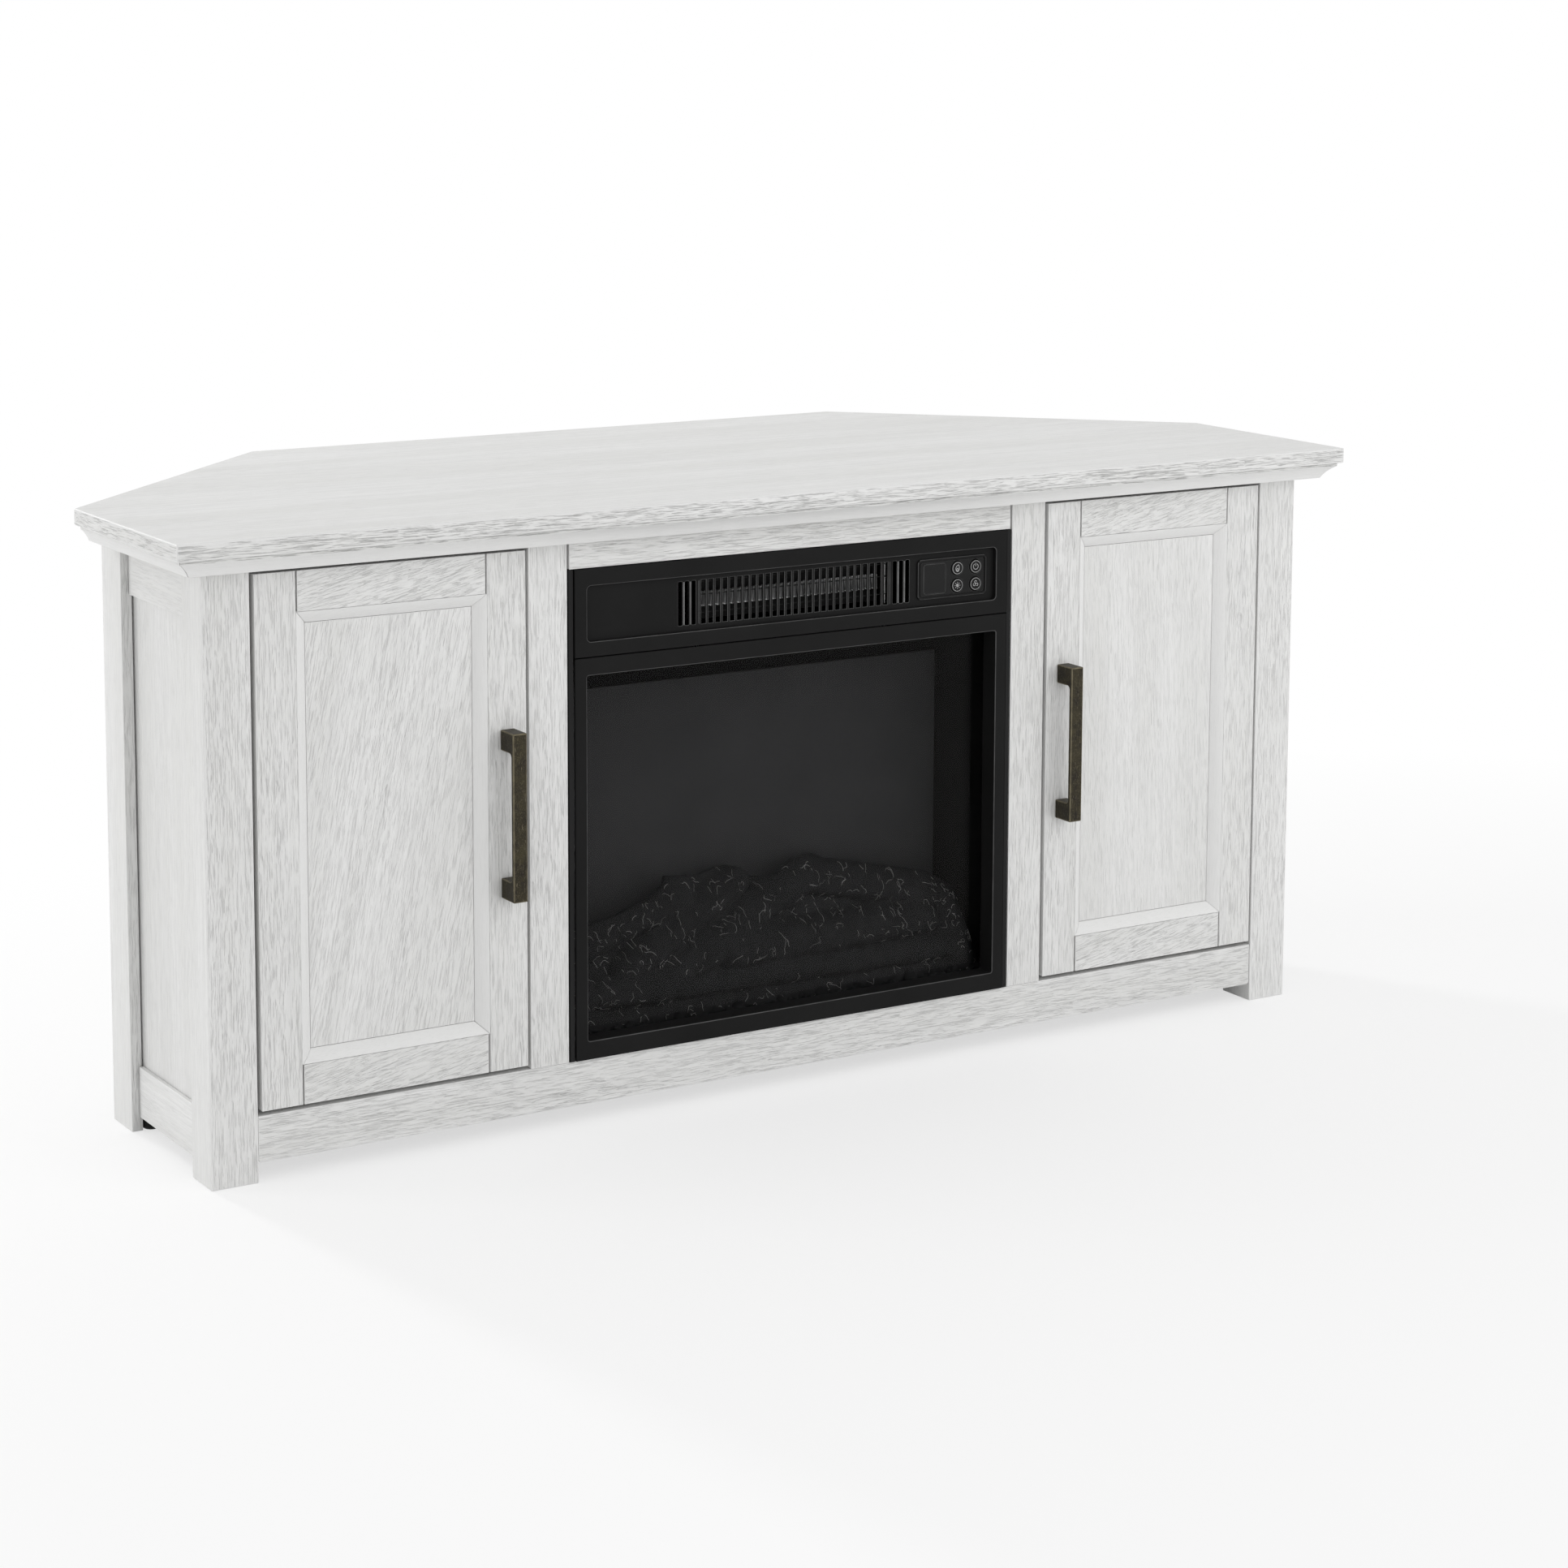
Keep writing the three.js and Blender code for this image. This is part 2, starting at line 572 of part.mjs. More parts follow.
/** Dividers and partitions beside the insert, the filler above it, and a shelf in each door bay. */
function makeInterior() {
  const dividerBack = DIVIDER_THICKNESS + FIT_GAP;
  const shelfInner = partitionOuter + FIT_GAP;
  const shelfOuter = sidePanelInner - FIT_GAP;
  const shelfBack = rearLegFront - FIT_GAP;
  const shelfPlan = [
    [shelfInner, SHELF_SETBACK],
    [shelfOuter, SHELF_SETBACK],
    [shelfOuter, depthAtInset(shelfOuter, angledInner)],
    alongBack(runAtDepth(angledInner, shelfBack), angledInner),
    [shelfInner, shelfBack],
  ];
  for (const { hand, sign } of SIDES) {
    addPiece(
      `${hand}_divider`,
      block(sign * dividerInner, sign * dividerOuter, 0, DIVIDER_THICKNESS, standingLevel, carcaseTop),
      oak(),
    );
    addPiece(
      `${hand}_partition`,
      block(sign * partitionInner, sign * partitionOuter, dividerBack, backInner - FIT_GAP, standingLevel, carcaseTop),
      oak(),
    );
    addPiece(
      `${hand}_shelf`,
      planPlate(mirrored(shelfPlan, sign), SHELF_HEIGHT - SHELF_THICKNESS / 2, SHELF_HEIGHT + SHELF_THICKNESS / 2),
      oak(),
    );
  }
  const fillerHalf = dividerInner - FILLER_SIDE_GAP;
  addPiece(
    "fireplace_filler",
    block(-fillerHalf, fillerHalf, 0, FILLER_THICKNESS, insertTop + INSERT_TOP_GAP, carcaseTop),
    oak(),
  );
}

/** The back: a vented panel in the middle and an angled panel with a cable hole at each corner. */
function makeBack() {
  const half = rearLegEnd - FIT_GAP;
  const middle = outline([
    [-half, BACK_BOTTOM],
    [half, BACK_BOTTOM],
    [half, carcaseTop],
    [-half, carcaseTop],
  ]);
  middle.holes.push(
    roundedRectangle(
      -VENT_WIDTH / 2,
      VENT_WIDTH / 2,
      VENT_BOTTOM,
      carcaseTop - VENT_TOP_MARGIN,
      VENT_CORNER,
      new THREE.Path(),
    ),
  );
  addPiece("centre_back_panel", facePlate(middle, backInner, backOuter), oak());

  const angledEnd = rearLegRun - FIT_GAP;
  for (const { hand, sign } of SIDES) {
    const panel = outline([
      [angledStart, BACK_BOTTOM],
      [angledEnd, BACK_BOTTOM],
      [angledEnd, carcaseTop],
      [angledStart, carcaseTop],
    ]);
    const hole = new THREE.Path();
    hole.absarc((angledStart + angledEnd) / 2, CABLE_HOLE_HEIGHT, CABLE_HOLE_RADIUS, 0, 2 * Math.PI);
    panel.holes.push(hole);
    addPiece(
      `${hand}_angled_back`,
      extruded(panel, BACK_THICKNESS, (u, z, t) => {
        const [x, y] = alongBack(u, BACK_INSET + t);
        return [sign * x, y, z];
      }),
      oak(),
    );
  }
}

/** One door: two stiles, two rails, a recessed panel and a bar handle. */
function makeDoor(hand, sign) {
  const bottom = floorLevel + DOOR_BOTTOM_GAP;
  const top = mouldingBottom - DOOR_TOP_GAP;
  const stileEdge = DOOR_STILE + DOOR_BEVEL;
  const railEdge = DOOR_RAIL + DOOR_BEVEL;
  const slopeReach = DOOR_BEVEL + OVERRUN;
  const slopeDepth = (DOOR_PANEL_RECESS * slopeReach) / DOOR_BEVEL;
  const slope = (start) => [
    [start, doorFront],
    [start + slopeReach, doorFront + slopeDepth],
    [start + slopeReach, doorFront - OVERRUN],
    [start, doorFront - OVERRUN],
  ];

  const stiles = [
    { name: "outer_stile", place: (s) => sign * (doorOuter - s) },
    { name: "inner_stile", place: (s) => sign * (doorInner + s) },
  ];
  for (const { name, place } of stiles) {
    const face = [
      [0, bottom],
      [DOOR_STILE, bottom],
      [DOOR_STILE, bottom + DOOR_RAIL],
      [stileEdge, bottom + railEdge],
      [stileEdge, top - railEdge],
      [DOOR_STILE, top - DOOR_RAIL],
      [DOOR_STILE, top],
      [0, top],
    ];
    const stile = extruded(outline(face), DOOR_THICKNESS, (s, z, t) => [place(s), doorFront + t, z]);
    const bevel = extruded(outline(slope(DOOR_STILE)), top - bottom, (s, y, t) => [place(s), y, bottom + t]);
    addPiece(`${hand}_door_${name}`, cut(stile, bevel), oak());
  }

  const rails = [
    { name: "bottom_rail", level: (h) => bottom + h },
    { name: "top_rail", level: (h) => top - h },
  ];
  const railInner = doorInner + DOOR_STILE + FIT_GAP;
  const railOuter = doorOuter - DOOR_STILE - FIT_GAP;
  for (const { name, level } of rails) {
    const face = [
      [railInner, 0],
      [railOuter, 0],
      [railOuter, DOOR_RAIL - FIT_GAP],
      [railOuter - DOOR_BEVEL - FIT_GAP, railEdge],
      [railInner + DOOR_BEVEL + FIT_GAP, railEdge],
      [railInner, DOOR_RAIL - FIT_GAP],
    ];
    const rail = extruded(outline(face), DOOR_THICKNESS, (x, h, t) => [sign * x, doorFront + t, level(h)]);
    const bevel = extruded(outline(slope(DOOR_RAIL)), doorOuter - doorInner, (h, y, t) => [
      sign * (doorInner + t),
      y,
      level(h),
    ]);
    addPiece(`${hand}_door_${name}`, cut(rail, bevel), oak());
  }

  const panelFront = doorFront + DOOR_PANEL_RECESS;
  addPiece(
    `${hand}_door_panel`,
    block(
      sign * (doorInner + stileEdge + FIT_GAP),
      sign * (doorOuter - stileEdge - FIT_GAP),
      panelFront,
      panelFront + DOOR_PANEL_THICKNESS,
      bottom + railEdge + FIT_GAP,
      top - railEdge - FIT_GAP,
    ),
    oak(),
  );

  const handleMiddle = (bottom + top) / 2;
  const handleX = sign * (doorInner + DOOR_STILE / 2);
  addPiece(`${hand}_door_handle`, makeHandle(handleX, handleMiddle), bronze());
}

/** A flat bar handle on two posts, its inner corners filleted. */
function makeHandle(x, middle) {
  const front = doorFront - HANDLE_REACH;
  const seat = doorFront - FIT_GAP;
  const inside = front + HANDLE_BAR_THICKNESS;
  const low = middle - HANDLE_LENGTH / 2;
  const high = middle + HANDLE_LENGTH / 2;
  const turn = Math.PI / 2;
  const side = new THREE.Shape();
  side.moveTo(seat, low);
  side.lineTo(seat, low + HANDLE_POST);
  side.absarc(inside + HANDLE_FILLET, low + HANDLE_POST + HANDLE_FILLET, HANDLE_FILLET, 3 * turn, 2 * turn, true);
  side.absarc(inside + HANDLE_FILLET, high - HANDLE_POST - HANDLE_FILLET, HANDLE_FILLET, 2 * turn, turn, true);
  side.lineTo(seat, high - HANDLE_POST);
  side.lineTo(seat, high);
  side.lineTo(front, high);
  side.lineTo(front, low);
  side.closePath();
  return crossBar(side, x - HANDLE_WIDTH / 2, x + HANDLE_WIDTH / 2);
}

/** Hinge arms fixed to the front leg, reaching in behind the closed door. */
function makeHinges(hand, sign) {
  const bottom = floorLevel + DOOR_BOTTOM_GAP;
  const top = mouldingBottom - DOOR_TOP_GAP;
  const seat = legInner - FIT_GAP;
  const armFront = doorBack + FIT_GAP;
  const levels = [
    { name: "lower", z: bottom + HINGE_INSET },
    { name: "upper", z: top - HINGE_INSET },
  ];
  for (const { name, z } of levels) {
    const plate = block(
      sign * (seat - HINGE_PLATE_THICKNESS),
      sign * seat,
      armFront,
      armFront + HINGE_PLATE_DEPTH,
      z - HINGE_PLATE_HEIGHT / 2,
      z + HINGE_PLATE_HEIGHT / 2,
    );
    const arm = block(
      sign * (seat - HINGE_ARM_LENGTH),
      sign * (seat - HINGE_PLATE_THICKNESS / 2),
      armFront,
      armFront + HINGE_ARM_THICKNESS,
      z - HINGE_ARM_HEIGHT / 2,
      z + HINGE_ARM_HEIGHT / 2,
    );
    addPiece(`${hand}_${name}_hinge_arm`, joined(plate, arm), steel());
  }
}

// Levels and places inside the insert
const wallInner = insertHalf - CHASSIS_RIM;
const chassisFloor = standingLevel + CHASSIS_SHEET;
const innerShelfTop = grooveTop - CHASSIS_SHELF_DROP;
const innerShelfBottom = innerShelfTop - CHASSIS_SHEET;
const chassisBackInner = CHASSIS_DEPTH - CHASSIS_SHEET;
const headerBack = plateFront + HEADER_THICKNESS;
const flangeBack = plateFront + GLASS_FRAME_FLANGE;
const glassFront = plateFront + GLASS_RECESS + FIT_GAP;
const glassBack = glassFront + GLASS_THICKNESS;
const bearingInner = BLOWER_HALF_LENGTH + BEARING_SIDE_GAP;
const bearingOuter = bearingInner + BEARING_THICKNESS;
const spindleLevel = chassisFloor + SPINDLE_HEIGHT;

/** The casing: rim, floor, inner shelf, back, bearings for the blower and the spindle, and a cord gland. */
function makeChassis() {
  const shell = cut(
    block(-insertHalf, insertHalf, 0, CHASSIS_DEPTH, standingLevel, insertTop),
    block(-wallInner, wallInner, -OVERRUN, chassisBackInner, chassisFloor, innerShelfBottom),
    block(-wallInner, wallInner, -OVERRUN, chassisBackInner, innerShelfTop, insertTop - CHASSIS_SHEET),
    block(-wallInner, wallInner, -OVERRUN, headerBack + FIT_GAP, innerShelfBottom - OVERRUN, insertTop + OVERRUN),
    block(-wallInner, wallInner, -OVERRUN, flangeBack + FIT_GAP, standingLevel - OVERRUN, innerShelfTop),
  );
  const fittings = [];
  for (const { sign } of SIDES) {
    fittings.push(
      block(
        sign * bearingInner,
        sign * bearingOuter,
        BLOWER_START - BEARING_WIDTH / 2,
        BLOWER_START + BEARING_WIDTH / 2,
        innerShelfTop - CHASSIS_SHEET / 2,
        recessMiddle + BEARING_WIDTH / 2,
      ),
      roundAlongX(
        sign * (wallInner - SPINDLE_BOSS_LENGTH),
        sign * (wallInner + CHASSIS_RIM / 2),
        SPINDLE_START,
        spindleLevel,
        SPINDLE_BOSS,
      ),
    );
  }
  const glandX = GLAND_SIDE_INSET - insertHalf;
  const glandLevel = standingLevel + GLAND_HEIGHT;
  fittings.push(
    roundAlongY(glandX, CHASSIS_DEPTH - CHASSIS_SHEET / 2, CHASSIS_DEPTH + GLAND_LENGTH, glandLevel, GLAND_RADIUS),
  );
  const bores = [
    roundAlongX(-bearingOuter - OVERRUN, bearingOuter + OVERRUN, BLOWER_START, recessMiddle, BLOWER_SHAFT + FIT_GAP),
    roundAlongX(-wallInner, wallInner, SPINDLE_START, spindleLevel, SPINDLE_SHAFT + FIT_GAP),
    roundAlongY(glandX, CHASSIS_DEPTH, CHASSIS_DEPTH + GLAND_LENGTH + OVERRUN, glandLevel, GLAND_BORE),
  ];
  addPiece("fireplace_chassis", cut(joined(shell, ...fittings), ...bores), blackMetal());
}

const controlRight = RECESS_WIDTH / 2 - CONTROL_SIDE_MARGIN;
const controlLeft = controlRight - CONTROL_WIDTH;
const recessFloor = plateFront + RECESS_DEPTH;

/** The header plate: a shallow recess with the air grille and the window behind the controls. */
function makeHeader() {
  const half = RECESS_WIDTH / 2;
  const low = recessMiddle - RECESS_HEIGHT / 2;
  const high = recessMiddle + RECESS_HEIGHT / 2;
  const slotLow = recessMiddle - GRILLE_HEIGHT / 2;
  const slotHigh = recessMiddle + GRILLE_HEIGHT / 2;
  const slot = (x, width) => block(x - width / 2, x + width / 2, plateFront, headerBack + OVERRUN, slotLow, slotHigh);
  const cuts = [
    facePlate(roundedRectangle(-half, half, low, high, RECESS_CORNER), plateFront - OVERRUN, recessFloor),
    block(
      controlLeft + CONTROL_LAND,
      controlRight - CONTROL_LAND,
      plateFront,
      headerBack + OVERRUN,
      recessMiddle - CONTROL_HEIGHT / 2 + CONTROL_LAND,
      recessMiddle + CONTROL_HEIGHT / 2 - CONTROL_LAND,
    ),
  ];
  for (let i = 0; i < GRILLE_SLOTS; i++) {
    cuts.push(slot((i - (GRILLE_SLOTS - 1) / 2) * GRILLE_PITCH, GRILLE_PITCH - GRILLE_BAR));
  }
  for (let i = 0; i < END_SLOTS; i++) {
    const x = END_SLOT_START + i * END_SLOT_PITCH;
    cuts.push(slot(-x, END_SLOT_WIDTH), slot(x, END_SLOT_WIDTH));
  }
  const plate = cut(block(-plateHalf, plateHalf, plateFront, headerBack, grooveTop, insertTop), ...cuts);
  const wireHalf = (GRILLE_SLOTS * GRILLE_PITCH + GRILLE_BAR) / 2;
  const wires = [-1, 1].map((row) => {
    const z = recessMiddle + (row * CROSS_WIRE_SPACING) / 2;
    return block(
      -wireHalf,
      wireHalf,
      headerBack - CROSS_WIRE_DEPTH / 2,
      headerBack + CROSS_WIRE_DEPTH / 2,
      z - CROSS_WIRE_THICKNESS / 2,
      z + CROSS_WIRE_THICKNESS / 2,
    );
  });
  addPiece("header_plate", joined(plate, ...wires), blackMetal());
}

/** The control panel with a display window, and four buttons that travel in its holes. */
function makeControls() {
  const back = recessFloor - FIT_GAP;
  const front = back - CONTROL_THICKNESS;
  const low = recessMiddle - CONTROL_HEIGHT / 2;
  const high = recessMiddle + CONTROL_HEIGHT / 2;
  const columns = [controlRight - BUTTON_MARGIN - BUTTON_COLUMN_PITCH, controlRight - BUTTON_MARGIN];
  const rows = [recessMiddle + BUTTON_ROW_PITCH / 2, recessMiddle - BUTTON_ROW_PITCH / 2];
  const buttons = [
    { name: "flame_button", x: columns[0], z: rows[0] },
    { name: "power_button", x: columns[1], z: rows[0] },
    { name: "light_button", x: columns[0], z: rows[1] },
    { name: "heat_button", x: columns[1], z: rows[1] },
  ];
  const displayLeft = controlLeft + DISPLAY_MARGIN;
  const window = roundedRectangle(
    displayLeft,
    displayLeft + DISPLAY_WIDTH,
    recessMiddle - DISPLAY_HEIGHT / 2,
    recessMiddle + DISPLAY_HEIGHT / 2,
    DISPLAY_CORNER,
  );
  const holes = buttons.map(({ x, z }) => roundAlongY(x, front - OVERRUN, back + OVERRUN, z, BUTTON_RADIUS + FIT_GAP));
  const panel = facePlate(roundedRectangle(controlLeft, controlRight, low, high, CONTROL_CORNER), front, back);
  addPiece(
    "control_panel",
    cut(panel, facePlate(window, front - OVERRUN, front + DISPLAY_DEPTH), ...holes),
    plastic(),
  );
  const flangeFront = back + FIT_GAP;
  for (const { name, x, z } of buttons) {
    const cap = roundAlongY(x, front - BUTTON_PROUD, flangeFront + BUTTON_FLANGE_THICKNESS / 2, z, BUTTON_RADIUS);
    const flange = roundAlongY(
      x,
      flangeFront,
      flangeFront + BUTTON_FLANGE_THICKNESS,
      z,
      BUTTON_RADIUS + BUTTON_FLANGE_REACH,
    );
    addPiece(name, joined(cap, flange), plastic());
  }
}

/** The frame round the glass, with a return that sets the glass back, and the glass behind it. */
function makeGlass() {
  const bottom = standingLevel;
  const top = grooveTop - HEADER_GROOVE;
  const half = plateHalf - GLASS_FRAME_SIDE;
  const low = bottom + GLASS_FRAME_BOTTOM;
  const high = top - GLASS_FRAME_TOP;
  const returnBack = plateFront + GLASS_RECESS;
  const frame = cut(
    joined(
      block(-plateHalf, plateHalf, plateFront, flangeBack, bottom, top),
      block(
        -half - GLASS_FRAME_RETURN,
        half + GLASS_FRAME_RETURN,
        flangeBack - GLASS_FRAME_FLANGE / 2,
        returnBack,
        low - GLASS_FRAME_RETURN,
        high + GLASS_FRAME_RETURN,
      ),
    ),
    facePlate(roundedRectangle(-half, half, low, high, GLASS_CORNER), plateFront - OVERRUN, returnBack + OVERRUN),
  );
  addPiece("glass_frame", frame, blackMetal());
  addPiece(
    "front_glass",
    block(
      -half - GLASS_LAP,
      half + GLASS_LAP,
      glassFront,
      glassBack,
      low - GLASS_LAP,
      high + GLASS_LAP,
    ),
    glass(),
  );
}

/** The moulded bed of embers with its logs, and the screen that the flames show on. */
function makeFire() {
  const level = chassisFloor + FIT_GAP;
  const bedFront = glassBack + BED_FRONT_GAP;
  const bedBack = SCREEN_START - BED_BACK_GAP;
  const bedHalf = wallInner - BED_SIDE_GAP;
  const end = ([x, y, z]) =>
    new THREE.Vector3(x * bedHalf, bedFront + y * (bedBack - bedFront), level + z * LOG_PILE_HEIGHT);
  const logs = LOG_END_SHARES.map(([a, b]) =>
    roundBar(end(a), end(b), a[3] * LOG_PILE_HEIGHT, b[3] * LOG_PILE_HEIGHT, LOG_SIDES),
  );
  const bed = block(-bedHalf, bedHalf, bedFront, bedBack, level, level + BED_HEIGHT);
  const space = block(-bedHalf, bedHalf, bedFront, bedBack, level, level + LOG_PILE_HEIGHT);
  addPiece("log_and_ember_bed", joined(bed, ...logs).intersect(space), ember());
  addPiece(
    "flame_screen",
    block(
      -SCREEN_WIDTH / 2,
      SCREEN_WIDTH / 2,
      SCREEN_START,
      SCREEN_START + SCREEN_THICKNESS,
      level,
      innerShelfBottom - SCREEN_TOP_GAP,
    ),
    plastic(),
  );
}

/** The heater behind the grille: a pleated strip between two plates that stand on the inner shelf. */
function makeHeater() {
  const pleats = Math.floor(HEATER_HALF_LENGTH / HEATER_WAVE_PITCH) * 2;
  const step = (2 * HEATER_HALF_LENGTH) / pleats;
  const front = [];
  for (let i = 0; i <= pleats; i++) {
    front.push([i * step - HEATER_HALF_LENGTH, HEATER_START + (i % 2 ? HEATER_WAVE : 0)]);
  }
  const back = front.map(([x, y]) => [x, y + HEATER_STRIP]).reverse();
  const strip = planPlate(
    outline([...front, ...back]),
    recessMiddle - HEATER_HEIGHT / 2,
    recessMiddle + HEATER_HEIGHT / 2,
  );
  const plateBottom = innerShelfTop + FIT_GAP;
  const plateMiddle = HEATER_START + (HEATER_WAVE + HEATER_STRIP) / 2;
  const plates = SIDES.map(({ sign }) =>
    block(
      sign * (HEATER_HALF_LENGTH - HEATER_PLATE_THICKNESS / 2),
      sign * (HEATER_HALF_LENGTH + HEATER_PLATE_THICKNESS / 2),
      plateMiddle - HEATER_PLATE_DEPTH / 2 + FIT_GAP,
      plateMiddle + HEATER_PLATE_DEPTH / 2,
      plateBottom,
      plateBottom + HEATER_PLATE_HEIGHT,
    ),
  );
  addPiece("heating_element", joined(strip, ...plates), steel());
}

/** The blower wheel: a bladed drum on a shaft that turns in the two bearings. */
function makeBlower() {
  const section = [];
  const step = (2 * Math.PI) / BLOWER_BLADES;
  for (let i = 0; i < BLOWER_BLADES; i++) {
    const angles = [i * step, i * step + step / 4, i * step + step / 2, i * step + (3 * step) / 4];
    const radii = [BLOWER_ROOT_RADIUS, BLOWER_RADIUS, BLOWER_RADIUS, BLOWER_ROOT_RADIUS];
    angles.forEach((angle, k) => {
      section.push([BLOWER_START + radii[k] * Math.cos(angle), recessMiddle + radii[k] * Math.sin(angle)]);
    });
  }
  const drum = crossBar(outline(section), -BLOWER_HALF_LENGTH, BLOWER_HALF_LENGTH);
  const shaft = roundAlongX(-bearingOuter, bearingOuter, BLOWER_START, recessMiddle, BLOWER_SHAFT);
  addPiece("blower_wheel", joined(drum, shaft), steel());
}

/** The flame spindle: a shaft with flat petals, each turned a quarter from the one before. */
function makeSpindle() {
  const shaftEnd = wallInner - FIT_GAP;
  const petalRun = 2 * (wallInner - SPINDLE_BOSS_LENGTH - PETAL_LENGTH);
  const petals = [];
  for (let i = 0; i < PETALS; i++) {
    const x = petalRun * (i / (PETALS - 1) - 1 / 2);
    const upright = i % 2 === 0;
    const reachY = upright ? PETAL_THICKNESS / 2 : PETAL_REACH;
    const reachZ = upright ? PETAL_REACH : PETAL_THICKNESS / 2;
    petals.push(
      block(
        x - PETAL_LENGTH / 2,
        x + PETAL_LENGTH / 2,
        SPINDLE_START - reachY,
        SPINDLE_START + reachY,
        spindleLevel - reachZ,
        spindleLevel + reachZ,
      ),
    );
  }
  const shaft = roundAlongX(-shaftEnd, shaftEnd, SPINDLE_START, spindleLevel, SPINDLE_SHAFT);
  addPiece("flame_spindle", joined(shaft, ...petals), steel());
}

makeTop();
makeMouldings();
makeLegs();
makeFrontRail();
makeSides();
makeBottom();
makeInterior();
makeBack();
for (const { hand, sign } of SIDES) {
  makeDoor(hand, sign);
  makeHinges(hand, sign);
}
makeChassis();
makeHeader();
makeControls();
makeGlass();
makeFire();
makeHeater();
makeBlower();
makeSpindle();

export default stand;
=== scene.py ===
"""A whitewashed oak television stand with an electric fireplace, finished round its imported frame.

Metres, +Z up, the front towards -Y. Every finished piece stands where its frame node is and rides on the
same body.
"""

from __future__ import annotations

import json
import logging
import math
import random
from dataclasses import dataclass
from enum import Enum
from typing import Callable, Iterable, Sequence

import bmesh
import bpy
from mathutils import Matrix, Vector, noise

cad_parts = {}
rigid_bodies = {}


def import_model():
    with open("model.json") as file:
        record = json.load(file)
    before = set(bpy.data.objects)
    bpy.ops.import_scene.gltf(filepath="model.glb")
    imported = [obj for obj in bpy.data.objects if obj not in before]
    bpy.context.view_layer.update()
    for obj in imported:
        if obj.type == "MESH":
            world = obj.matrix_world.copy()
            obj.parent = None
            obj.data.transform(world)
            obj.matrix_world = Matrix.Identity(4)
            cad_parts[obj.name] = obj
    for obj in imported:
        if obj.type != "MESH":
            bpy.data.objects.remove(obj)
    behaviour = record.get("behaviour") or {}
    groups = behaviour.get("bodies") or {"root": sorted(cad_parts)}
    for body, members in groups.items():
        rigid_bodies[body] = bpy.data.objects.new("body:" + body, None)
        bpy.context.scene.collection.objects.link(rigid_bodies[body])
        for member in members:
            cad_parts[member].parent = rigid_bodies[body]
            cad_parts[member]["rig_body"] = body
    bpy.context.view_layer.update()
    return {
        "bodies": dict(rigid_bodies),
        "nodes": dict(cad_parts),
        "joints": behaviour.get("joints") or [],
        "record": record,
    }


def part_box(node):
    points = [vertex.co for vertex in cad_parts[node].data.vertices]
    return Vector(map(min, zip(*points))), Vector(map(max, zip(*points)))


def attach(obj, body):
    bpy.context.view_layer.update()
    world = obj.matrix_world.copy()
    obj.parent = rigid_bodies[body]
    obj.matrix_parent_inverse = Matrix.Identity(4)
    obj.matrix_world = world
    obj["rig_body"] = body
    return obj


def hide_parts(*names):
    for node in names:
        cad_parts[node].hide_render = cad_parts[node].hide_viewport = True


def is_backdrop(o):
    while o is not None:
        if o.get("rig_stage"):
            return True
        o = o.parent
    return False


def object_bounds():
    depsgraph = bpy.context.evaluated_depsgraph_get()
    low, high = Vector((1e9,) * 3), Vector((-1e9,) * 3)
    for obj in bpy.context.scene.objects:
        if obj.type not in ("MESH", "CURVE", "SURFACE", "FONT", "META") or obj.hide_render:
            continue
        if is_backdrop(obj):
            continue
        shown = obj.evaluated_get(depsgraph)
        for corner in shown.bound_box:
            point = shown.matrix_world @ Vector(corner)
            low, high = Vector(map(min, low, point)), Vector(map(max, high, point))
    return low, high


LOG = logging.getLogger("stand")
SIDES = ("left", "right")
MERGE = 0.00001  # corners closer than this are one corner
NEAR = 10 * MERGE  # corners closer than this lie on one line
FIT_GAP = 0.0003  # between pieces that meet
BROAD = 0.02  # a slanting face wider than this is a board's side, and a narrower one only its edge's slope
QUARTER = math.pi / 2
ROUND = 2 * math.pi

Pair = tuple[float, float]
Triple = tuple[float, float, float]
Mesh = bpy.types.Mesh
Object = bpy.types.Object
Material = bpy.types.Material
Socket = bpy.types.NodeSocket
BMesh = bmesh.types.BMesh
Vert = bmesh.types.BMVert


class Grain(Enum):
    """The way that a board's grain runs, as an order of the axes whose last one runs with the grain."""

    ACROSS = (1, 2, 0)
    DEEP = (2, 0, 1)
    UPRIGHT = (0, 1, 2)


class Finish(Enum):
    """The finishes, by their names among the record's material slots."""

    OAK = "whitewashed_oak"
    BRONZE = "dark_bronze"
    STEEL = "bare_steel"
    PLASTIC = "black_plastic"
    METAL = "black_metal"
    GLASS = "clear_glass"
    EMBERS = "moulded_embers"
    SCREEN = "screen_plastic"


def tone(code: str) -> tuple[float, ...]:
    """Turns a written colour into the linear one that a shader takes.

    Args:
        code: six hexadecimal digits.

    Returns:
        Red, green, blue and an alpha of 1.
    """
    parts = [int(code[i : i + 2], 16) / 255 for i in (0, 2, 4)]
    return (*(p / 12.92 if p <= 0.04045 else ((p + 0.055) / 1.055) ** 2.4 for p in parts), 1.0)


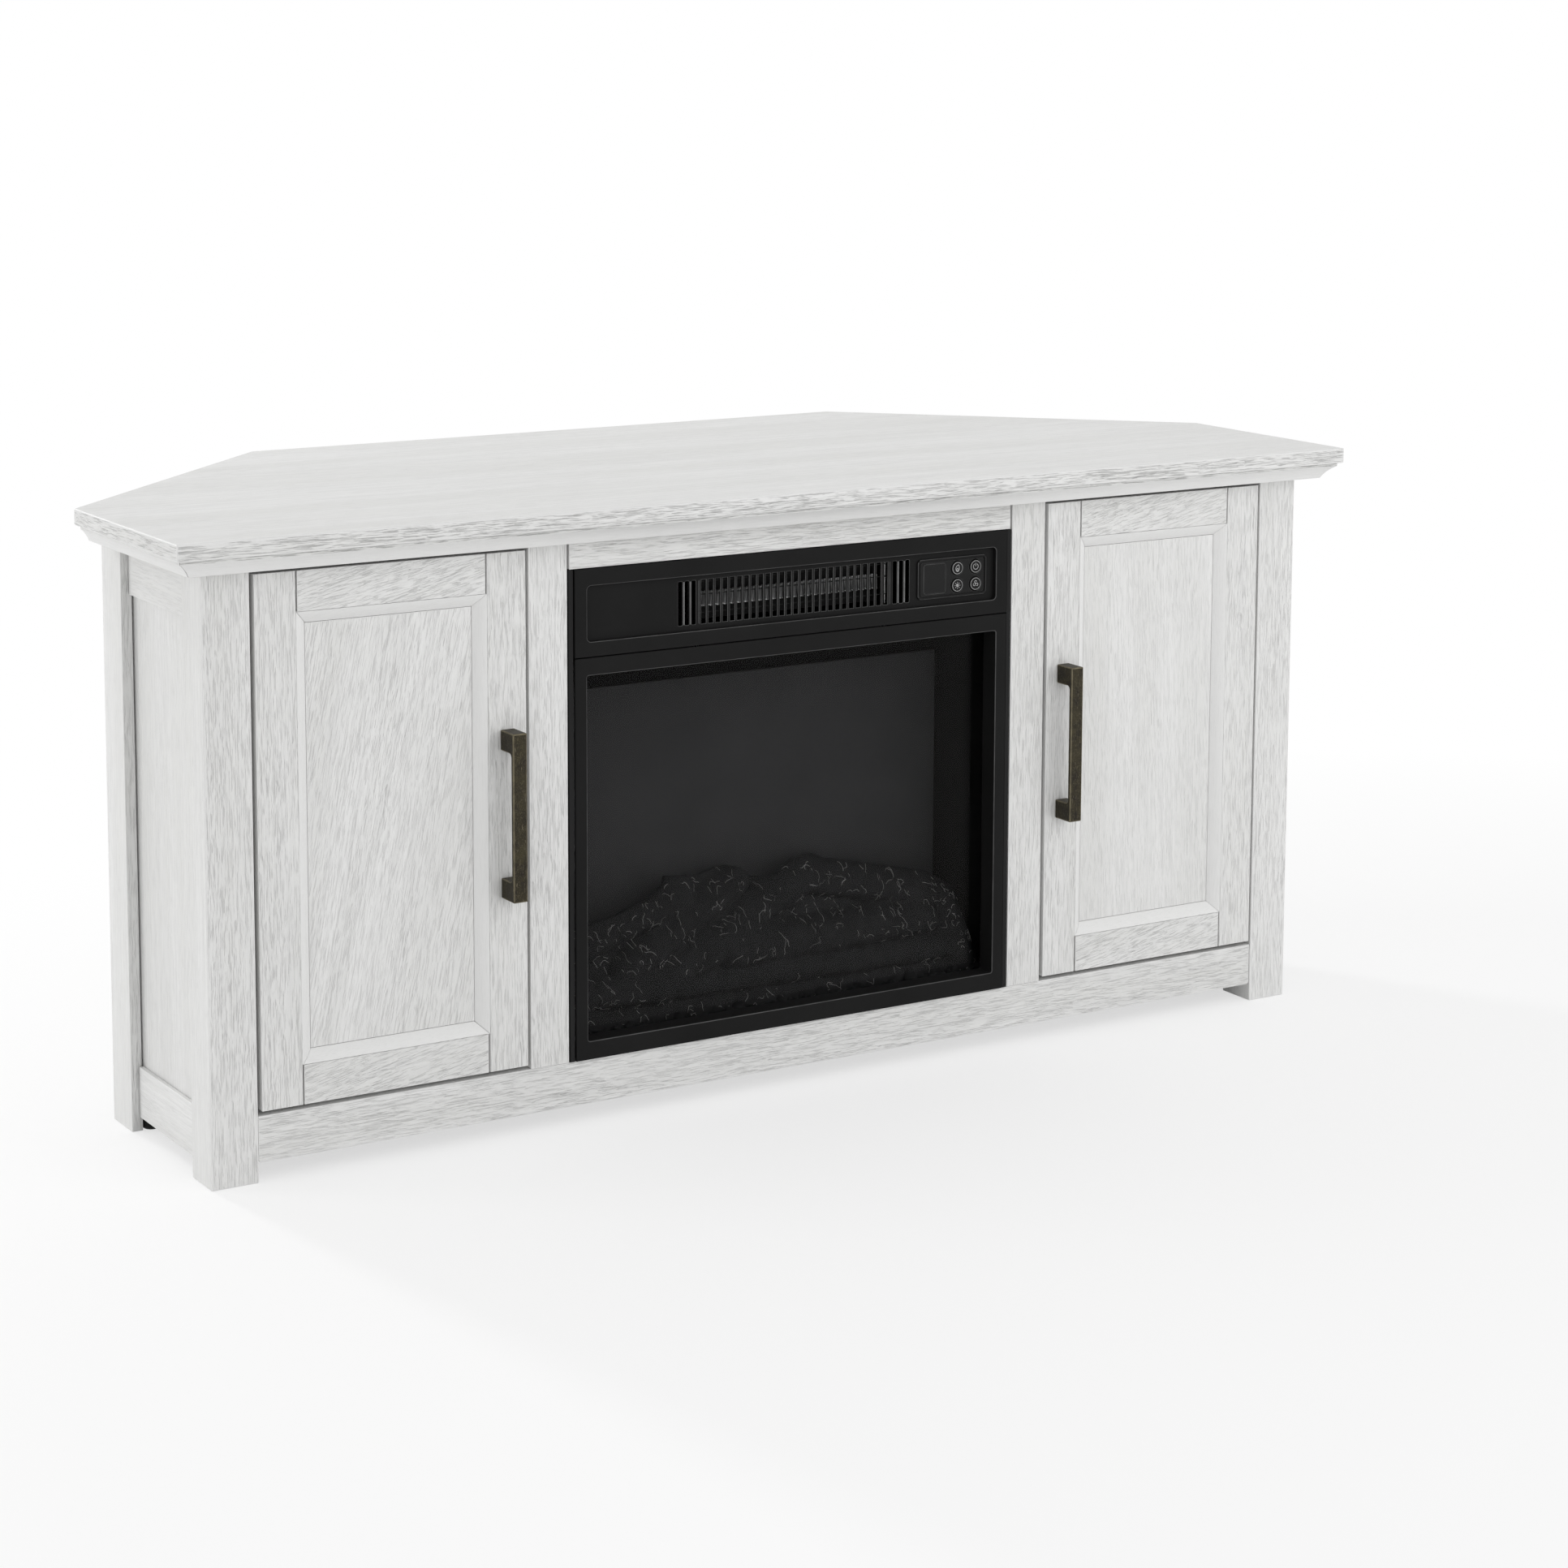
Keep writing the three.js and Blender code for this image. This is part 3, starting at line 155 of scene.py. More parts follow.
class Graph:
    """The node tree of a material or of the surroundings while it is wired up."""

    def __init__(self, owner: Material | bpy.types.World) -> None:
        """Starts from the shader and the output that a new tree has."""
        owner.use_nodes = True
        self.owner = owner
        self.nodes = owner.node_tree.nodes
        self.links = owner.node_tree.links
        is_world = isinstance(owner, bpy.types.World)
        self.surface = self.nodes["Background" if is_world else "Principled BSDF"]
        self.output = self.nodes["World Output" if is_world else "Material Output"]

    def feed(self, target: Socket, source: object) -> None:
        """Links a socket to a source, or sets its value where the source is a number or a colour."""
        if isinstance(source, Socket):
            self.links.new(source, target)
        else:
            target.default_value = source

    def add(self, kind: str, inputs: dict | None = None, **settings: object) -> bpy.types.Node:
        """Adds one node.

        Args:
            kind: the node's type.
            inputs: a value or a source for its sockets, by name or number.
            settings: values for its properties.

        Returns:
            The node.
        """
        node = self.nodes.new(kind)
        for key, value in settings.items():
            setattr(node, key, value)
        for key, value in (inputs or {}).items():
            self.feed(node.inputs[key], value)
        return node

    def place(self) -> Socket:
        """Gives the place on the object, in metres."""
        return self.add("ShaderNodeTexCoord").outputs["Object"]

    def attribute(self, name: str, output: str = "Fac") -> Socket:
        """Gives a value that the mesh carries under a name."""
        return self.add("ShaderNodeAttribute", attribute_name=name).outputs[output]

    def noise(self, source: Socket, scale: float | Triple, output: str = "Fac", **values: float) -> Socket:
        """Adds a noise pattern.

        Args:
            source: the coordinates.
            scale: how many cells go into one unit, once or for each axis.
            output: Fac for one value, or Color for three.
            values: its Detail, Roughness or Distortion, where they aren't 2, a half and none.

        Returns:
            The pattern's value.
        """
        if isinstance(scale, tuple):
            source = self.add("ShaderNodeMapping", {"Vector": source, "Scale": scale}).outputs["Vector"]
            scale = 1.0
        return self.add("ShaderNodeTexNoise", {"Vector": source, "Scale": scale, **values}).outputs[output]

    def level(
        self, source: Socket, low: float, high: float, bottom: float = 0.0, top: float = 1.0
    ) -> Socket:
        """Stretches the range from low to high over the range from bottom to top, clamped."""
        ends = {"From Min": low, "From Max": high, "To Min": bottom, "To Max": top}
        return self.add("ShaderNodeMapRange", {"Value": source, **ends}).outputs["Result"]

    def math(self, operation: str, first: object, second: object) -> Socket:
        """Works out one value from two."""
        return self.add("ShaderNodeMath", {0: first, 1: second}, operation=operation).outputs[0]

    def blend(self, share: object, first: object, second: object) -> Socket:
        """Mixes two colours."""
        return self.add("ShaderNodeMix", {0: share, 6: first, 7: second}, data_type="RGBA").outputs[2]

    def bump(self, height: Socket, distance: float) -> Socket:
        """Turns a height pattern into a bumped normal."""
        return self.add("ShaderNodeBump", {"Distance": distance, "Height": height}).outputs["Normal"]

    def dress(self, **values: object) -> Material:
        """Feeds the surface shader by its sockets' names, with _ for a space, and gives the material."""
        for key, value in values.items():
            self.feed(self.surface.inputs[key.replace("_", " ")], value)
        return self.owner

    def show(self, share: Socket, other: bpy.types.Node) -> Material:
        """Mixes another shader over the surface's own, and gives the finished material."""
        mixed = self.add("ShaderNodeMixShader", {0: share, 1: self.surface.outputs[0], 2: other.outputs[0]})
        self.feed(self.output.inputs["Surface"], mixed.outputs[0])
        return self.owner

    def seen_rays(self) -> Socket:
        """Gives 1 for camera, glossy and transmission rays, and 0 for the others."""
        rays = self.add("ShaderNodeLightPath").outputs
        both = self.math("MAXIMUM", rays["Is Camera Ray"], rays["Is Glossy Ray"])
        return self.math("MAXIMUM", both, rays["Is Transmission Ray"])


def new_graph(name: str) -> Graph:
    """Starts a material."""
    return Graph(bpy.data.materials.new(name))


@dataclass(frozen=True)
class WhitewashedOak:
    """Printed oak under a thin white wash: soft bands, fine dark pores and a few bolder ones."""

    pale: str = "e7e7e6"
    band: str = "dcdcdb"
    shade: str = "dfdfdd"
    pore: str = "878684"
    # painted highlight: the plain lighter colour of narrow slopes and eased edges
    washed: str = "e6e6e5"
    wander: float = 0.003
    ripple: float = 0.0006
    pore_depth: float = 0.0004

    def moved(self, graph: Graph, source: Socket, cells: Triple, reach: float) -> Socket:
        """Moves grain coordinates sideways by a noise pattern.

        Args:
            graph: the material being wired.
            source: the coordinates.
            cells: the pattern's scale along each axis.
            reach: how far it moves them.

        Returns:
            The moved coordinates.
        """
        curl = {0: graph.noise(source, cells, "Color"), 1: (0.5, 0.5, 0.5)}
        centred = graph.add("ShaderNodeVectorMath", curl, operation="SUBTRACT").outputs[0]
        shift = {0: centred, 1: (reach, reach, 0), 2: source}
        return graph.add("ShaderNodeVectorMath", shift, operation="MULTIPLY_ADD").outputs[0]

    def build(self) -> Material:
        """Wires the material up on the mesh's own grain coordinates."""
        graph = new_graph("whitewashed_oak")
        figure = graph.attribute("figure")
        grain = self.moved(graph, graph.attribute("grain", "Vector"), (45, 45, 14), self.wander)
        grain = self.moved(graph, grain, (150, 150, 85), self.ripple)

        broad = graph.noise(grain, (24, 24, 1.6), Detail=3)
        bands = graph.noise(grain, (330, 330, 6), Detail=4, Roughness=0.6)
        crowd = graph.level(graph.noise(grain, (42, 42, 6)), 0.36, 0.6)
        fine = graph.level(graph.noise(grain, (1250, 1250, 44), Detail=3, Roughness=0.6), 0.53, 0.64)
        bold = graph.level(graph.noise(grain, (950, 950, 38), Roughness=0.6), 0.63, 0.7)
        fine = graph.math("MULTIPLY", fine, graph.level(crowd, 0, 1, 0.8, 1))
        bold = graph.math("MULTIPLY", bold, graph.level(crowd, 0, 1, 0.35, 0.7))
        pores = graph.math("MAXIMUM", graph.math("MULTIPLY", fine, 0.5), bold)
        # Painted shade: the figure's strength makes the pores darker on the faces that look forward or back.
        pores = graph.math("MULTIPLY", pores, figure)

        ground = graph.blend(graph.level(broad, 0.35, 0.65), tone(self.pale), tone(self.shade))
        ground = graph.blend(graph.level(bands, 0.4, 0.72), ground, tone(self.band))
        # Painted highlight: the faint faces, the narrow slopes and eased edges, are painted in one plain
        # lighter colour.
        ground = graph.blend(graph.level(figure, 0.2, 0.4, 1.0, 0.0), ground, tone(self.washed))
        return graph.dress(
            Base_Color=graph.blend(graph.math("MULTIPLY", pores, 0.58), ground, tone(self.pore)),
            Roughness=graph.level(pores, 0, 1, 0.5, 0.68),
            Specular_IOR_Level=0.3,
            Normal=graph.bump(graph.math("SUBTRACT", 1.0, pores), self.pore_depth),
        )


@dataclass(frozen=True)
class DarkBronze:
    """Aged bronze: mottled olive brown, scratched, and rubbed bright where its edges are rounded."""

    deep: str = "25211a"
    olive: str = "3d3828"
    rubbed_and_sheen: str = "857d68"

    def build(self) -> Material:
        """Wires the material up."""
        graph = new_graph("dark_bronze")
        place = graph.place()
        cloud = graph.noise(place, 90, Detail=5, Roughness=0.65)
        speck = graph.level(graph.noise(place, 900, Detail=3, Roughness=0.7), 0.55, 0.75)
        scratch = graph.level(graph.noise(place, (1500, 1500, 160), Distortion=1.2), 0.64, 0.7)
        edge = graph.math("MULTIPLY", graph.attribute("wear_and_sheen"), graph.level(cloud, 0.3, 0.6, 0.35, 1.0))
        colour = graph.blend(graph.level(cloud, 0.35, 0.68), tone(self.deep), tone(self.olive))
        specks = graph.math("MULTIPLY", speck, 0.35)
        marks = graph.math("MAXIMUM", specks, graph.math("MULTIPLY", scratch, 0.45))
        colour = graph.blend(marks, colour, tone(self.rubbed_and_sheen))
        return graph.dress(
            Base_Color=graph.blend(graph.math("MULTIPLY", edge, 0.7), colour, tone(self.rubbed_and_sheen)),
            Metallic=0.75,
            Roughness=graph.level(cloud, 0.3, 0.7, 0.42, 0.6),
            Normal=graph.bump(graph.math("ADD", speck, scratch), 0.00006),
        )


@dataclass(frozen=True)
class MouldedSurface:
    """A dark moulded, coated or sheet surface with a fine even texture and painted edge highlights."""

    name: str
    colour: str
    lighter: str
    # the painted highlight's colour on the marked edges
    rubbed_and_sheen: str
    roughness: float
    specular: float
    cells: float = 1800
    depth: float = 0.00004

    def build(self) -> Material:
        """Wires the material up."""
        graph = new_graph(self.name)
        place = graph.place()
        texture = graph.noise(place, self.cells)
        cloud = graph.noise(place, 14, Detail=3)
        uneven = graph.level(graph.noise(place, 70), 0.3, 0.7, 0.6, 1.0)
        # Painted highlight: the marked edges are painted lighter, unevenly.
        painted_edge_sheen = graph.math("MULTIPLY", graph.attribute("wear_and_sheen"), uneven)
        colour = graph.blend(graph.level(cloud, 0.3, 0.7), tone(self.colour), tone(self.lighter))
        return graph.dress(
            Base_Color=graph.blend(painted_edge_sheen, colour, tone(self.rubbed_and_sheen)),
            Roughness=graph.level(texture, 0.3, 0.7, self.roughness - 0.05, self.roughness + 0.05),
            Specular_IOR_Level=self.specular,
            Normal=graph.bump(texture, self.depth),
        )


@dataclass(frozen=True)
class BareSteel:
    """Bright plated steel with light brush marks and painted highlights on its marked edges."""

    name: str = "bare_steel"
    colour: str = "b9babc"
    dull: str = "8e8f92"
    # the painted highlight's colour on marked edges and folds
    rubbed_and_sheen: str = "c9c9cb"
    polish: Pair = (0.24, 0.4)

    def build(self) -> Material:
        """Wires the material up."""
        graph = new_graph(self.name)
        place = graph.place()
        brushed = graph.noise(place, (120, 120, 1600), Detail=3)
        cloud = graph.noise(place, 60, Detail=4)
        colour = graph.blend(graph.level(cloud, 0.35, 0.7), tone(self.colour), tone(self.dull))
        return graph.dress(
            Base_Color=graph.blend(graph.attribute("wear_and_sheen"), colour, tone(self.rubbed_and_sheen)),
            Metallic=1.0,
            Roughness=graph.level(brushed, 0.3, 0.7, *self.polish),
            Normal=graph.bump(brushed, 0.00002),
        )


@dataclass(frozen=True)
class ClearGlass:
    """Grey tinted, coated glass that reflects little and lets the lamps through to the firebox."""

    tint: str = "c1c1c2"

    def build(self) -> Material:
        """Wires the material up, with a clear pane for shadow rays."""
        graph = new_graph("clear_glass")
        graph.dress(Base_Color=tone(self.tint), Roughness=0.0, IOR=1.14, Transmission_Weight=1.0)
        clear = graph.add("ShaderNodeBsdfTransparent", {"Color": tone(self.tint)})
        return graph.show(graph.add("ShaderNodeLightPath").outputs["Is Shadow Ray"], clear)


@dataclass(frozen=True)
class MouldedEmbers:
    """Black moulded bark and embers, painted pale on their raised curls as painted highlights."""

    black: str = "303030"
    soot: str = "373737"
    # the colour of the painted highlights on the raised curls
    brushed: str = "c0c0bc"

    def build(self) -> Material:
        """Wires the material up."""
        graph = new_graph("moulded_embers")
        place = graph.place()
        cloud = graph.noise(place, 55, Detail=5, Roughness=0.65)
        grit = graph.noise(place, 700, Detail=3)
        # Painted highlight: the marked curls are painted pale, unevenly.
        painted_glint_mask = graph.math("MULTIPLY", graph.attribute("wear_and_sheen"), graph.level(cloud, 0.35, 0.6, 0.25, 1.0))
        colour = graph.blend(graph.level(cloud, 0.35, 0.7), tone(self.black), tone(self.soot))
        return graph.dress(
            Base_Color=graph.blend(painted_glint_mask, colour, tone(self.brushed)),
            Roughness=0.7,
            Specular_IOR_Level=0.1,
            Normal=graph.bump(graph.math("ADD", grit, cloud), 0.00005),
        )


FINISHES = {
    Finish.OAK: WhitewashedOak(),
    Finish.BRONZE: DarkBronze(),
    Finish.STEEL: BareSteel(),
    # The fourth colour of each moulded surface is its painted edge highlight.
    Finish.PLASTIC: MouldedSurface("black_plastic", "141414", "1c1c1c", "7a7a7a", 0.42, 0.12),
    Finish.METAL: MouldedSurface("black_metal", "1a1a1a", "1e1e1e", "5a5a5a", 0.5, 0.06, 2200, 0.00001),
    Finish.GLASS: ClearGlass(),
    Finish.EMBERS: MouldedEmbers(),
    Finish.SCREEN: MouldedSurface("screen_plastic", "4c4c4c", "525252", "525252", 0.7, 0.1, 600),
}
BUTTON_PRINT = MouldedSurface("button_print", "b4b4b4", "c2c2c2", "c2c2c2", 0.5, 0.3)
CASING_COAT = MouldedSurface("casing_coat", "262626", "2a2a2a", "5a5a5a", 0.7, 0.06, 2200, 0.00001)
# The ribbon's steel is dark and painted bright on its marked folds: painted glints.
RIBBON_STEEL = BareSteel("ribbon_steel", "262627", "1c1c1d", "ffffff", (0.3, 0.5))


def ease(
    bm: BMesh,
    offset: float,
    segments: int = 2,
    sharper_than: float = 25.0,
    spared: Callable[[bmesh.types.BMEdge], bool] = lambda edge: False,
) -> None:
    """Rounds the sharp edges and marks the new faces, which bronze colours as real rubbing and the black
    plastic, black metal and steel finishes paint lighter as a painted highlight.

    Args:
        bm: the mesh.
        offset: how far the rounding reaches.
        segments: how many faces go across it.
        sharper_than: the least angle of an edge that is rounded, in degrees.
        spared: tells which edges stay sharp.
    """
    wear_and_sheen = bm.faces.layers.float.get("wear_and_sheen") or bm.faces.layers.float.new("wear_and_sheen")
    limit = math.radians(sharper_than)
    edges = [e for e in bm.edges if e.is_manifold and e.calc_face_angle(0.0) > limit and not spared(e)]
    made = bmesh.ops.bevel(
        bm, geom=edges, offset=offset, segments=segments, profile=0.5, affect="EDGES", clamp_overlap=True
    )
    for face in made["faces"]:
        face[wear_and_sheen] = 1.0


def to_mesh(bm: BMesh) -> Mesh:
    """Turns a bmesh into a smooth-shaded mesh and frees it."""
    for face in bm.faces:
        face.smooth = True
    mesh = bpy.data.meshes.new("piece")
    bm.to_mesh(mesh)
    bm.free()
    return mesh


def merged(mesh: Mesh) -> BMesh:
    """Copies a mesh with its corners merged."""
    bm = bmesh.new()
    bm.from_mesh(mesh)
    bmesh.ops.remove_doubles(bm, verts=bm.verts[:], dist=MERGE)
    return bm


def joined(*meshes: Mesh) -> Mesh:
    """Puts several meshes, which are used up, into one."""
    bm = bmesh.new()
    for mesh in meshes:
        bm.from_mesh(mesh)
        bpy.data.meshes.remove(mesh)
    return to_mesh(bm)


def hung(name: str, data: bpy.types.ID) -> Object:
    """Makes an object of a mesh, a curve, a lamp or a camera, and puts it into the scene."""
    item = bpy.data.objects.new(name, data)
    bpy.context.scene.collection.objects.link(item)
    return item


def baked(carrier: Object, *helpers: Object) -> Mesh:
    """Turns a curve or a mesh with modifiers into a plain mesh.

    Args:
        carrier: the object, which is used up.
        helpers: the objects that its modifiers name, which are used up too.

    Returns:
        The plain mesh.
    """
    bpy.context.view_layer.update()
    mesh = bpy.data.meshes.new_from_object(carrier.evaluated_get(bpy.context.evaluated_depsgraph_get()))
    for item in (carrier, *helpers):
        data = item.data
        bpy.data.objects.remove(item)
        (bpy.data.curves if isinstance(data, bpy.types.Curve) else bpy.data.meshes).remove(data)
    return mesh


def skin(bm: BMesh, rows: Sequence[Sequence[Vert]], closed: bool = True) -> None:
    """Lays faces between neighbouring rows of corners.

    Args:
        bm: the mesh.
        rows: the rows, where a corner alone is a point that its neighbour row closes on.
        closed: whether each row runs right round.
    """
    for low, high in zip(rows, rows[1:]):
        count = max(len(low), len(high))
        for k in range(count if closed else count - 1):
            after = (k + 1) % count
            below = [low[i % len(low)] for i in (k, after)]
            above = [high[i % len(high)] for i in (after, k)]
            bm.faces.new(list(dict.fromkeys(below + above)))


def outward(bm: BMesh) -> BMesh:
    """Turns the faces of a closed shape outwards."""
    bmesh.ops.recalc_face_normals(bm, faces=bm.faces[:])
    return bm


def bar(bm: BMesh, rings: Sequence[Sequence[Vert]]) -> BMesh:
    """Skins a bar between its rings and closes its ends."""
    skin(bm, rings)
    bm.faces.new(rings[0])
    bm.faces.new(rings[-1])
    return outward(bm)


def extruded(section: Sequence[Pair], half: float) -> BMesh:
    """Makes a bar along X, as far to the left as to the right, from a section of y and z."""
    bm = bmesh.new()
    return bar(bm, [[bm.verts.new((x, y, z)) for y, z in section] for x in (-half, half)])


def lathe(profile: Sequence[Pair], sides: int, place: Matrix) -> Mesh:
    """Turns a profile round an axis.

    Args:
        profile: each point's distance from the axis and its height, from axis to axis or back to its start.
        sides: how many sides go round.
        place: carries the turned piece, whose axis is Z, to its place.

    Returns:
        A closed mesh.
    """
    bm = bmesh.new()
    turns = [ROUND * i / sides for i in range(sides)]
    rings = []
    for radius, height in profile:
        angles = turns if radius else [0.0]
        rings.append([bm.verts.new((radius * math.cos(a), radius * math.sin(a), height)) for a in angles])
    skin(bm, rings)
    bmesh.ops.remove_doubles(bm, verts=bm.verts[:], dist=MERGE)
    outward(bm).transform(place)
    return to_mesh(bm)


def facing_y(x: float = 0.0, y: float = 0.0, z: float = 0.0) -> Matrix:
    """Carries a piece turned about Z so that its foot is at a point and it stands out towards +Y."""
    return Matrix.Translation((x, y, z)) @ Matrix.Rotation(-QUARTER, 4, "X")


def box_mesh(low: Triple, high: Triple, edge: float, segments: int = 2) -> Mesh:
    """Makes a block with eased edges between two corners."""
    bm = bmesh.new()
    size = Vector(high) - Vector(low)
    middle = (Vector(high) + Vector(low)) / 2
    bmesh.ops.create_cube(bm, size=1, matrix=Matrix.Translation(middle) @ Matrix.Diagonal((*size, 1)))
    ease(bm, edge, segments)
    return to_mesh(bm)


def tube(points: Sequence[Vector], radius: float, sides: int = 8, painted_sheen: bool = False) -> Mesh:
    """Makes a thin round bar through points.

    Args:
        points: its middle line.
        radius: its radius.
        sides: how many sides go round.
        painted_sheen: whether its surface is painted bright all over, as a painted highlight.

    Returns:
        A closed mesh.
    """
    bm = bmesh.new()
    wear_and_sheen = bm.faces.layers.float.new("wear_and_sheen")
    turns = [ROUND * k / sides for k in range(sides)]
    rings = []
    for i, point in enumerate(points):
        ahead = points[min(i + 1, len(points) - 1)] - points[max(i - 1, 0)]
        across = ahead.cross(Vector((0, 1, 0)))
        if across.length < MERGE:
            across = ahead.cross(Vector((1, 0, 0)))
        across.normalize()
        other = ahead.cross(across).normalized()
        spokes = [math.cos(t) * across + math.sin(t) * other for t in turns]
        rings.append([bm.verts.new(point + radius * spoke) for spoke in spokes])
    for face in bar(bm, rings).faces:
        face[wear_and_sheen] = float(painted_sheen)
    return to_mesh(bm)


def front_box(node: str) -> tuple[Pair, Pair]:
    """Gives the lower left and the upper right corner of a node's box, seen from the front."""
    low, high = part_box(node)
    return (low.x, low.z), (high.x, high.z)


def rounded(low: Pair, high: Pair, radius: float, steps: int = 6, inset: float = 0.0) -> list[Pair]:
    """Gives the outline of a rectangle with rounded corners.

    Args:
        low: the lower corner.
        high: the upper corner.
        radius: the corners' radius.
        steps: how many steps go round each corner.
        inset: how far the outline is drawn in.

    Returns:
        The points, counterclockwise.
    """
    left, bottom = low[0] + inset + radius, low[1] + inset + radius
    right, top = high[0] - inset - radius, high[1] - inset - radius
    points = []
    for k, (a, b) in enumerate(((right, bottom), (right, top), (left, top), (left, bottom))):
        for i in range(steps + 1):
            angle = (k - 1) * QUARTER + QUARTER * i / steps
            points.append((a + radius * math.cos(angle), b + radius * math.sin(angle)))
    return points


def pierced_plate(
    outlines: Sequence[Sequence[Pair]], front: float, back: float, edge: float, wear_and_sheen: Pair = (1.0, 1.0)
) -> Mesh:
    """Makes an upright plate with holes and eased edges.

    Args:
        outlines: the outer outline and then the holes, as x and z.
        front: where its front face lies.
        back: where its back face lies.
        edge: how far its edges are eased.
        wear_and_sheen: how bright its outer edges and its holes' edges are painted, a painted highlight.

    Returns:
        A closed mesh.
    """
    curve = bpy.data.curves.new("plate", "CURVE")
    curve.dimensions = "2D"
    curve.fill_mode = "BOTH"
    curve.extrude = (back - front) / 2 - edge
    curve.bevel_depth = edge
    curve.bevel_resolution = 1
    curve.offset = -edge
    for outline in outlines:
        spline = curve.splines.new("POLY")
        spline.points.add(len(outline) - 1)
        for point, (x, z) in zip(spline.points, outline):
            point.co = (x, z, 0, 1)
        spline.use_cyclic_u = True
    mesh = baked(hung("plate", curve))
    mesh.transform(Matrix.Translation((0, (front + back) / 2, 0)) @ Matrix.Rotation(QUARTER, 4, "X"))
    bm = outward(merged(mesh))
    bpy.data.meshes.remove(mesh)
    layer = bm.faces.layers.float.new("wear_and_sheen")
    sides = [[p[i] for p in outlines[0]] for i in range(2)]
    limits = [(min(side) + 2 * edge, max(side) - 2 * edge) for side in sides]
    for face in bm.faces:
        spot = face.calc_center_median()
        inside = all(low < at < high for at, (low, high) in zip((spot.x, spot.z), limits))
        # Painted highlight: the slanting edge faces get the given brightness.
        face[layer] = wear_and_sheen[inside] if 0.05 < -face.normal.y < 0.98 else 0.0
    return to_mesh(bm)


@dataclass(frozen=True)
class Figure:
    """How one board's figure is laid.

    The lean is how far it is turned out of line with the board, and the dip how steeply it runs into the
    board's face, which makes its strokes short, both in radians. The bow is how strongly it bends into
    arches, per metre. It is bold on the faces that look forward or back and on the ends, quiet on those that
    look up, down or sideways, and faint on narrow slopes and eased edges. The bold pores are painted shade:
    they darken the faces that look forward or back, where embossed pores show in shade. The faint faces are
    painted in a plain lighter colour, a painted highlight.
    """

    lean: float = 0.0
    dip: float = 0.0
    bow: float = 0.0
    bold: float = 1.0
    quiet: float = 0.42
    faint: float = 0.2


PLAIN = Figure()


def lay_grain(mesh: Mesh, grain: Grain, seed: str, figure: Figure) -> None:
    """Gives a mesh its own grain coordinates, so that no two boards show the same figure.

    Each face's figure runs along the board, or along its own longer side where it closes the board's end.

    Args:
        mesh: the board's mesh, in its place.
        grain: the way that the grain runs.
        seed: what picks the board's own stretch of the figure.
        figure: how the figure is laid.
    """
    draw = random.Random(seed)
    shift = Vector([draw.uniform(-4, 4) for _ in range(3)])
    axes = "XY" if grain is Grain.ACROSS else "YX"
    turn = Matrix.Rotation(figure.lean, 3, axes[0]) @ Matrix.Rotation(figure.dip, 3, axes[1])
    lows = [min(v.co[i] for v in mesh.vertices) for i in range(3)]
    spans = [max(v.co[i] for v in mesh.vertices) - lows[i] for i in range(3)]
    crest = lows[grain.value[2]] + spans[grain.value[2]] * draw.uniform(0.35, 0.65)
    places: list[float] = []
    strengths: list[float] = []
    for face in mesh.polygons:
        across = max(range(3), key=lambda i: abs(face.normal[i]))
        order = list(grain.value)
        closing = across == order[2]
        if closing:
            order.sort(key=lambda i: spans[i] if i != across else 0.0)
        # Painted shade: the pores are bolder, so darker, on the faces that look forward or back.
        strength = figure.bold if closing or across == 1 else figure.quiet
        spots = [mesh.vertices[i].co for i in face.vertices]
        reach = max((a - b).length for a, b in zip(spots, spots[1:] + spots[:1]))
        if abs(face.normal[across]) < 0.95 and face.area / reach < BROAD:
            strength = figure.faint
        for spot in spots:
            arch = figure.bow * (spot[order[2]] - crest) ** 2
            wide, deep, along = (spot[axis] for axis in order)
            places.extend(turn @ Vector((wide + arch, deep + arch, along)) + shift)
            strengths.append(strength)
    mesh.attributes.new("grain", "FLOAT_VECTOR", "CORNER").data.foreach_set("vector", places)
    mesh.attributes.new("figure", "FLOAT", "CORNER").data.foreach_set("value", strengths)


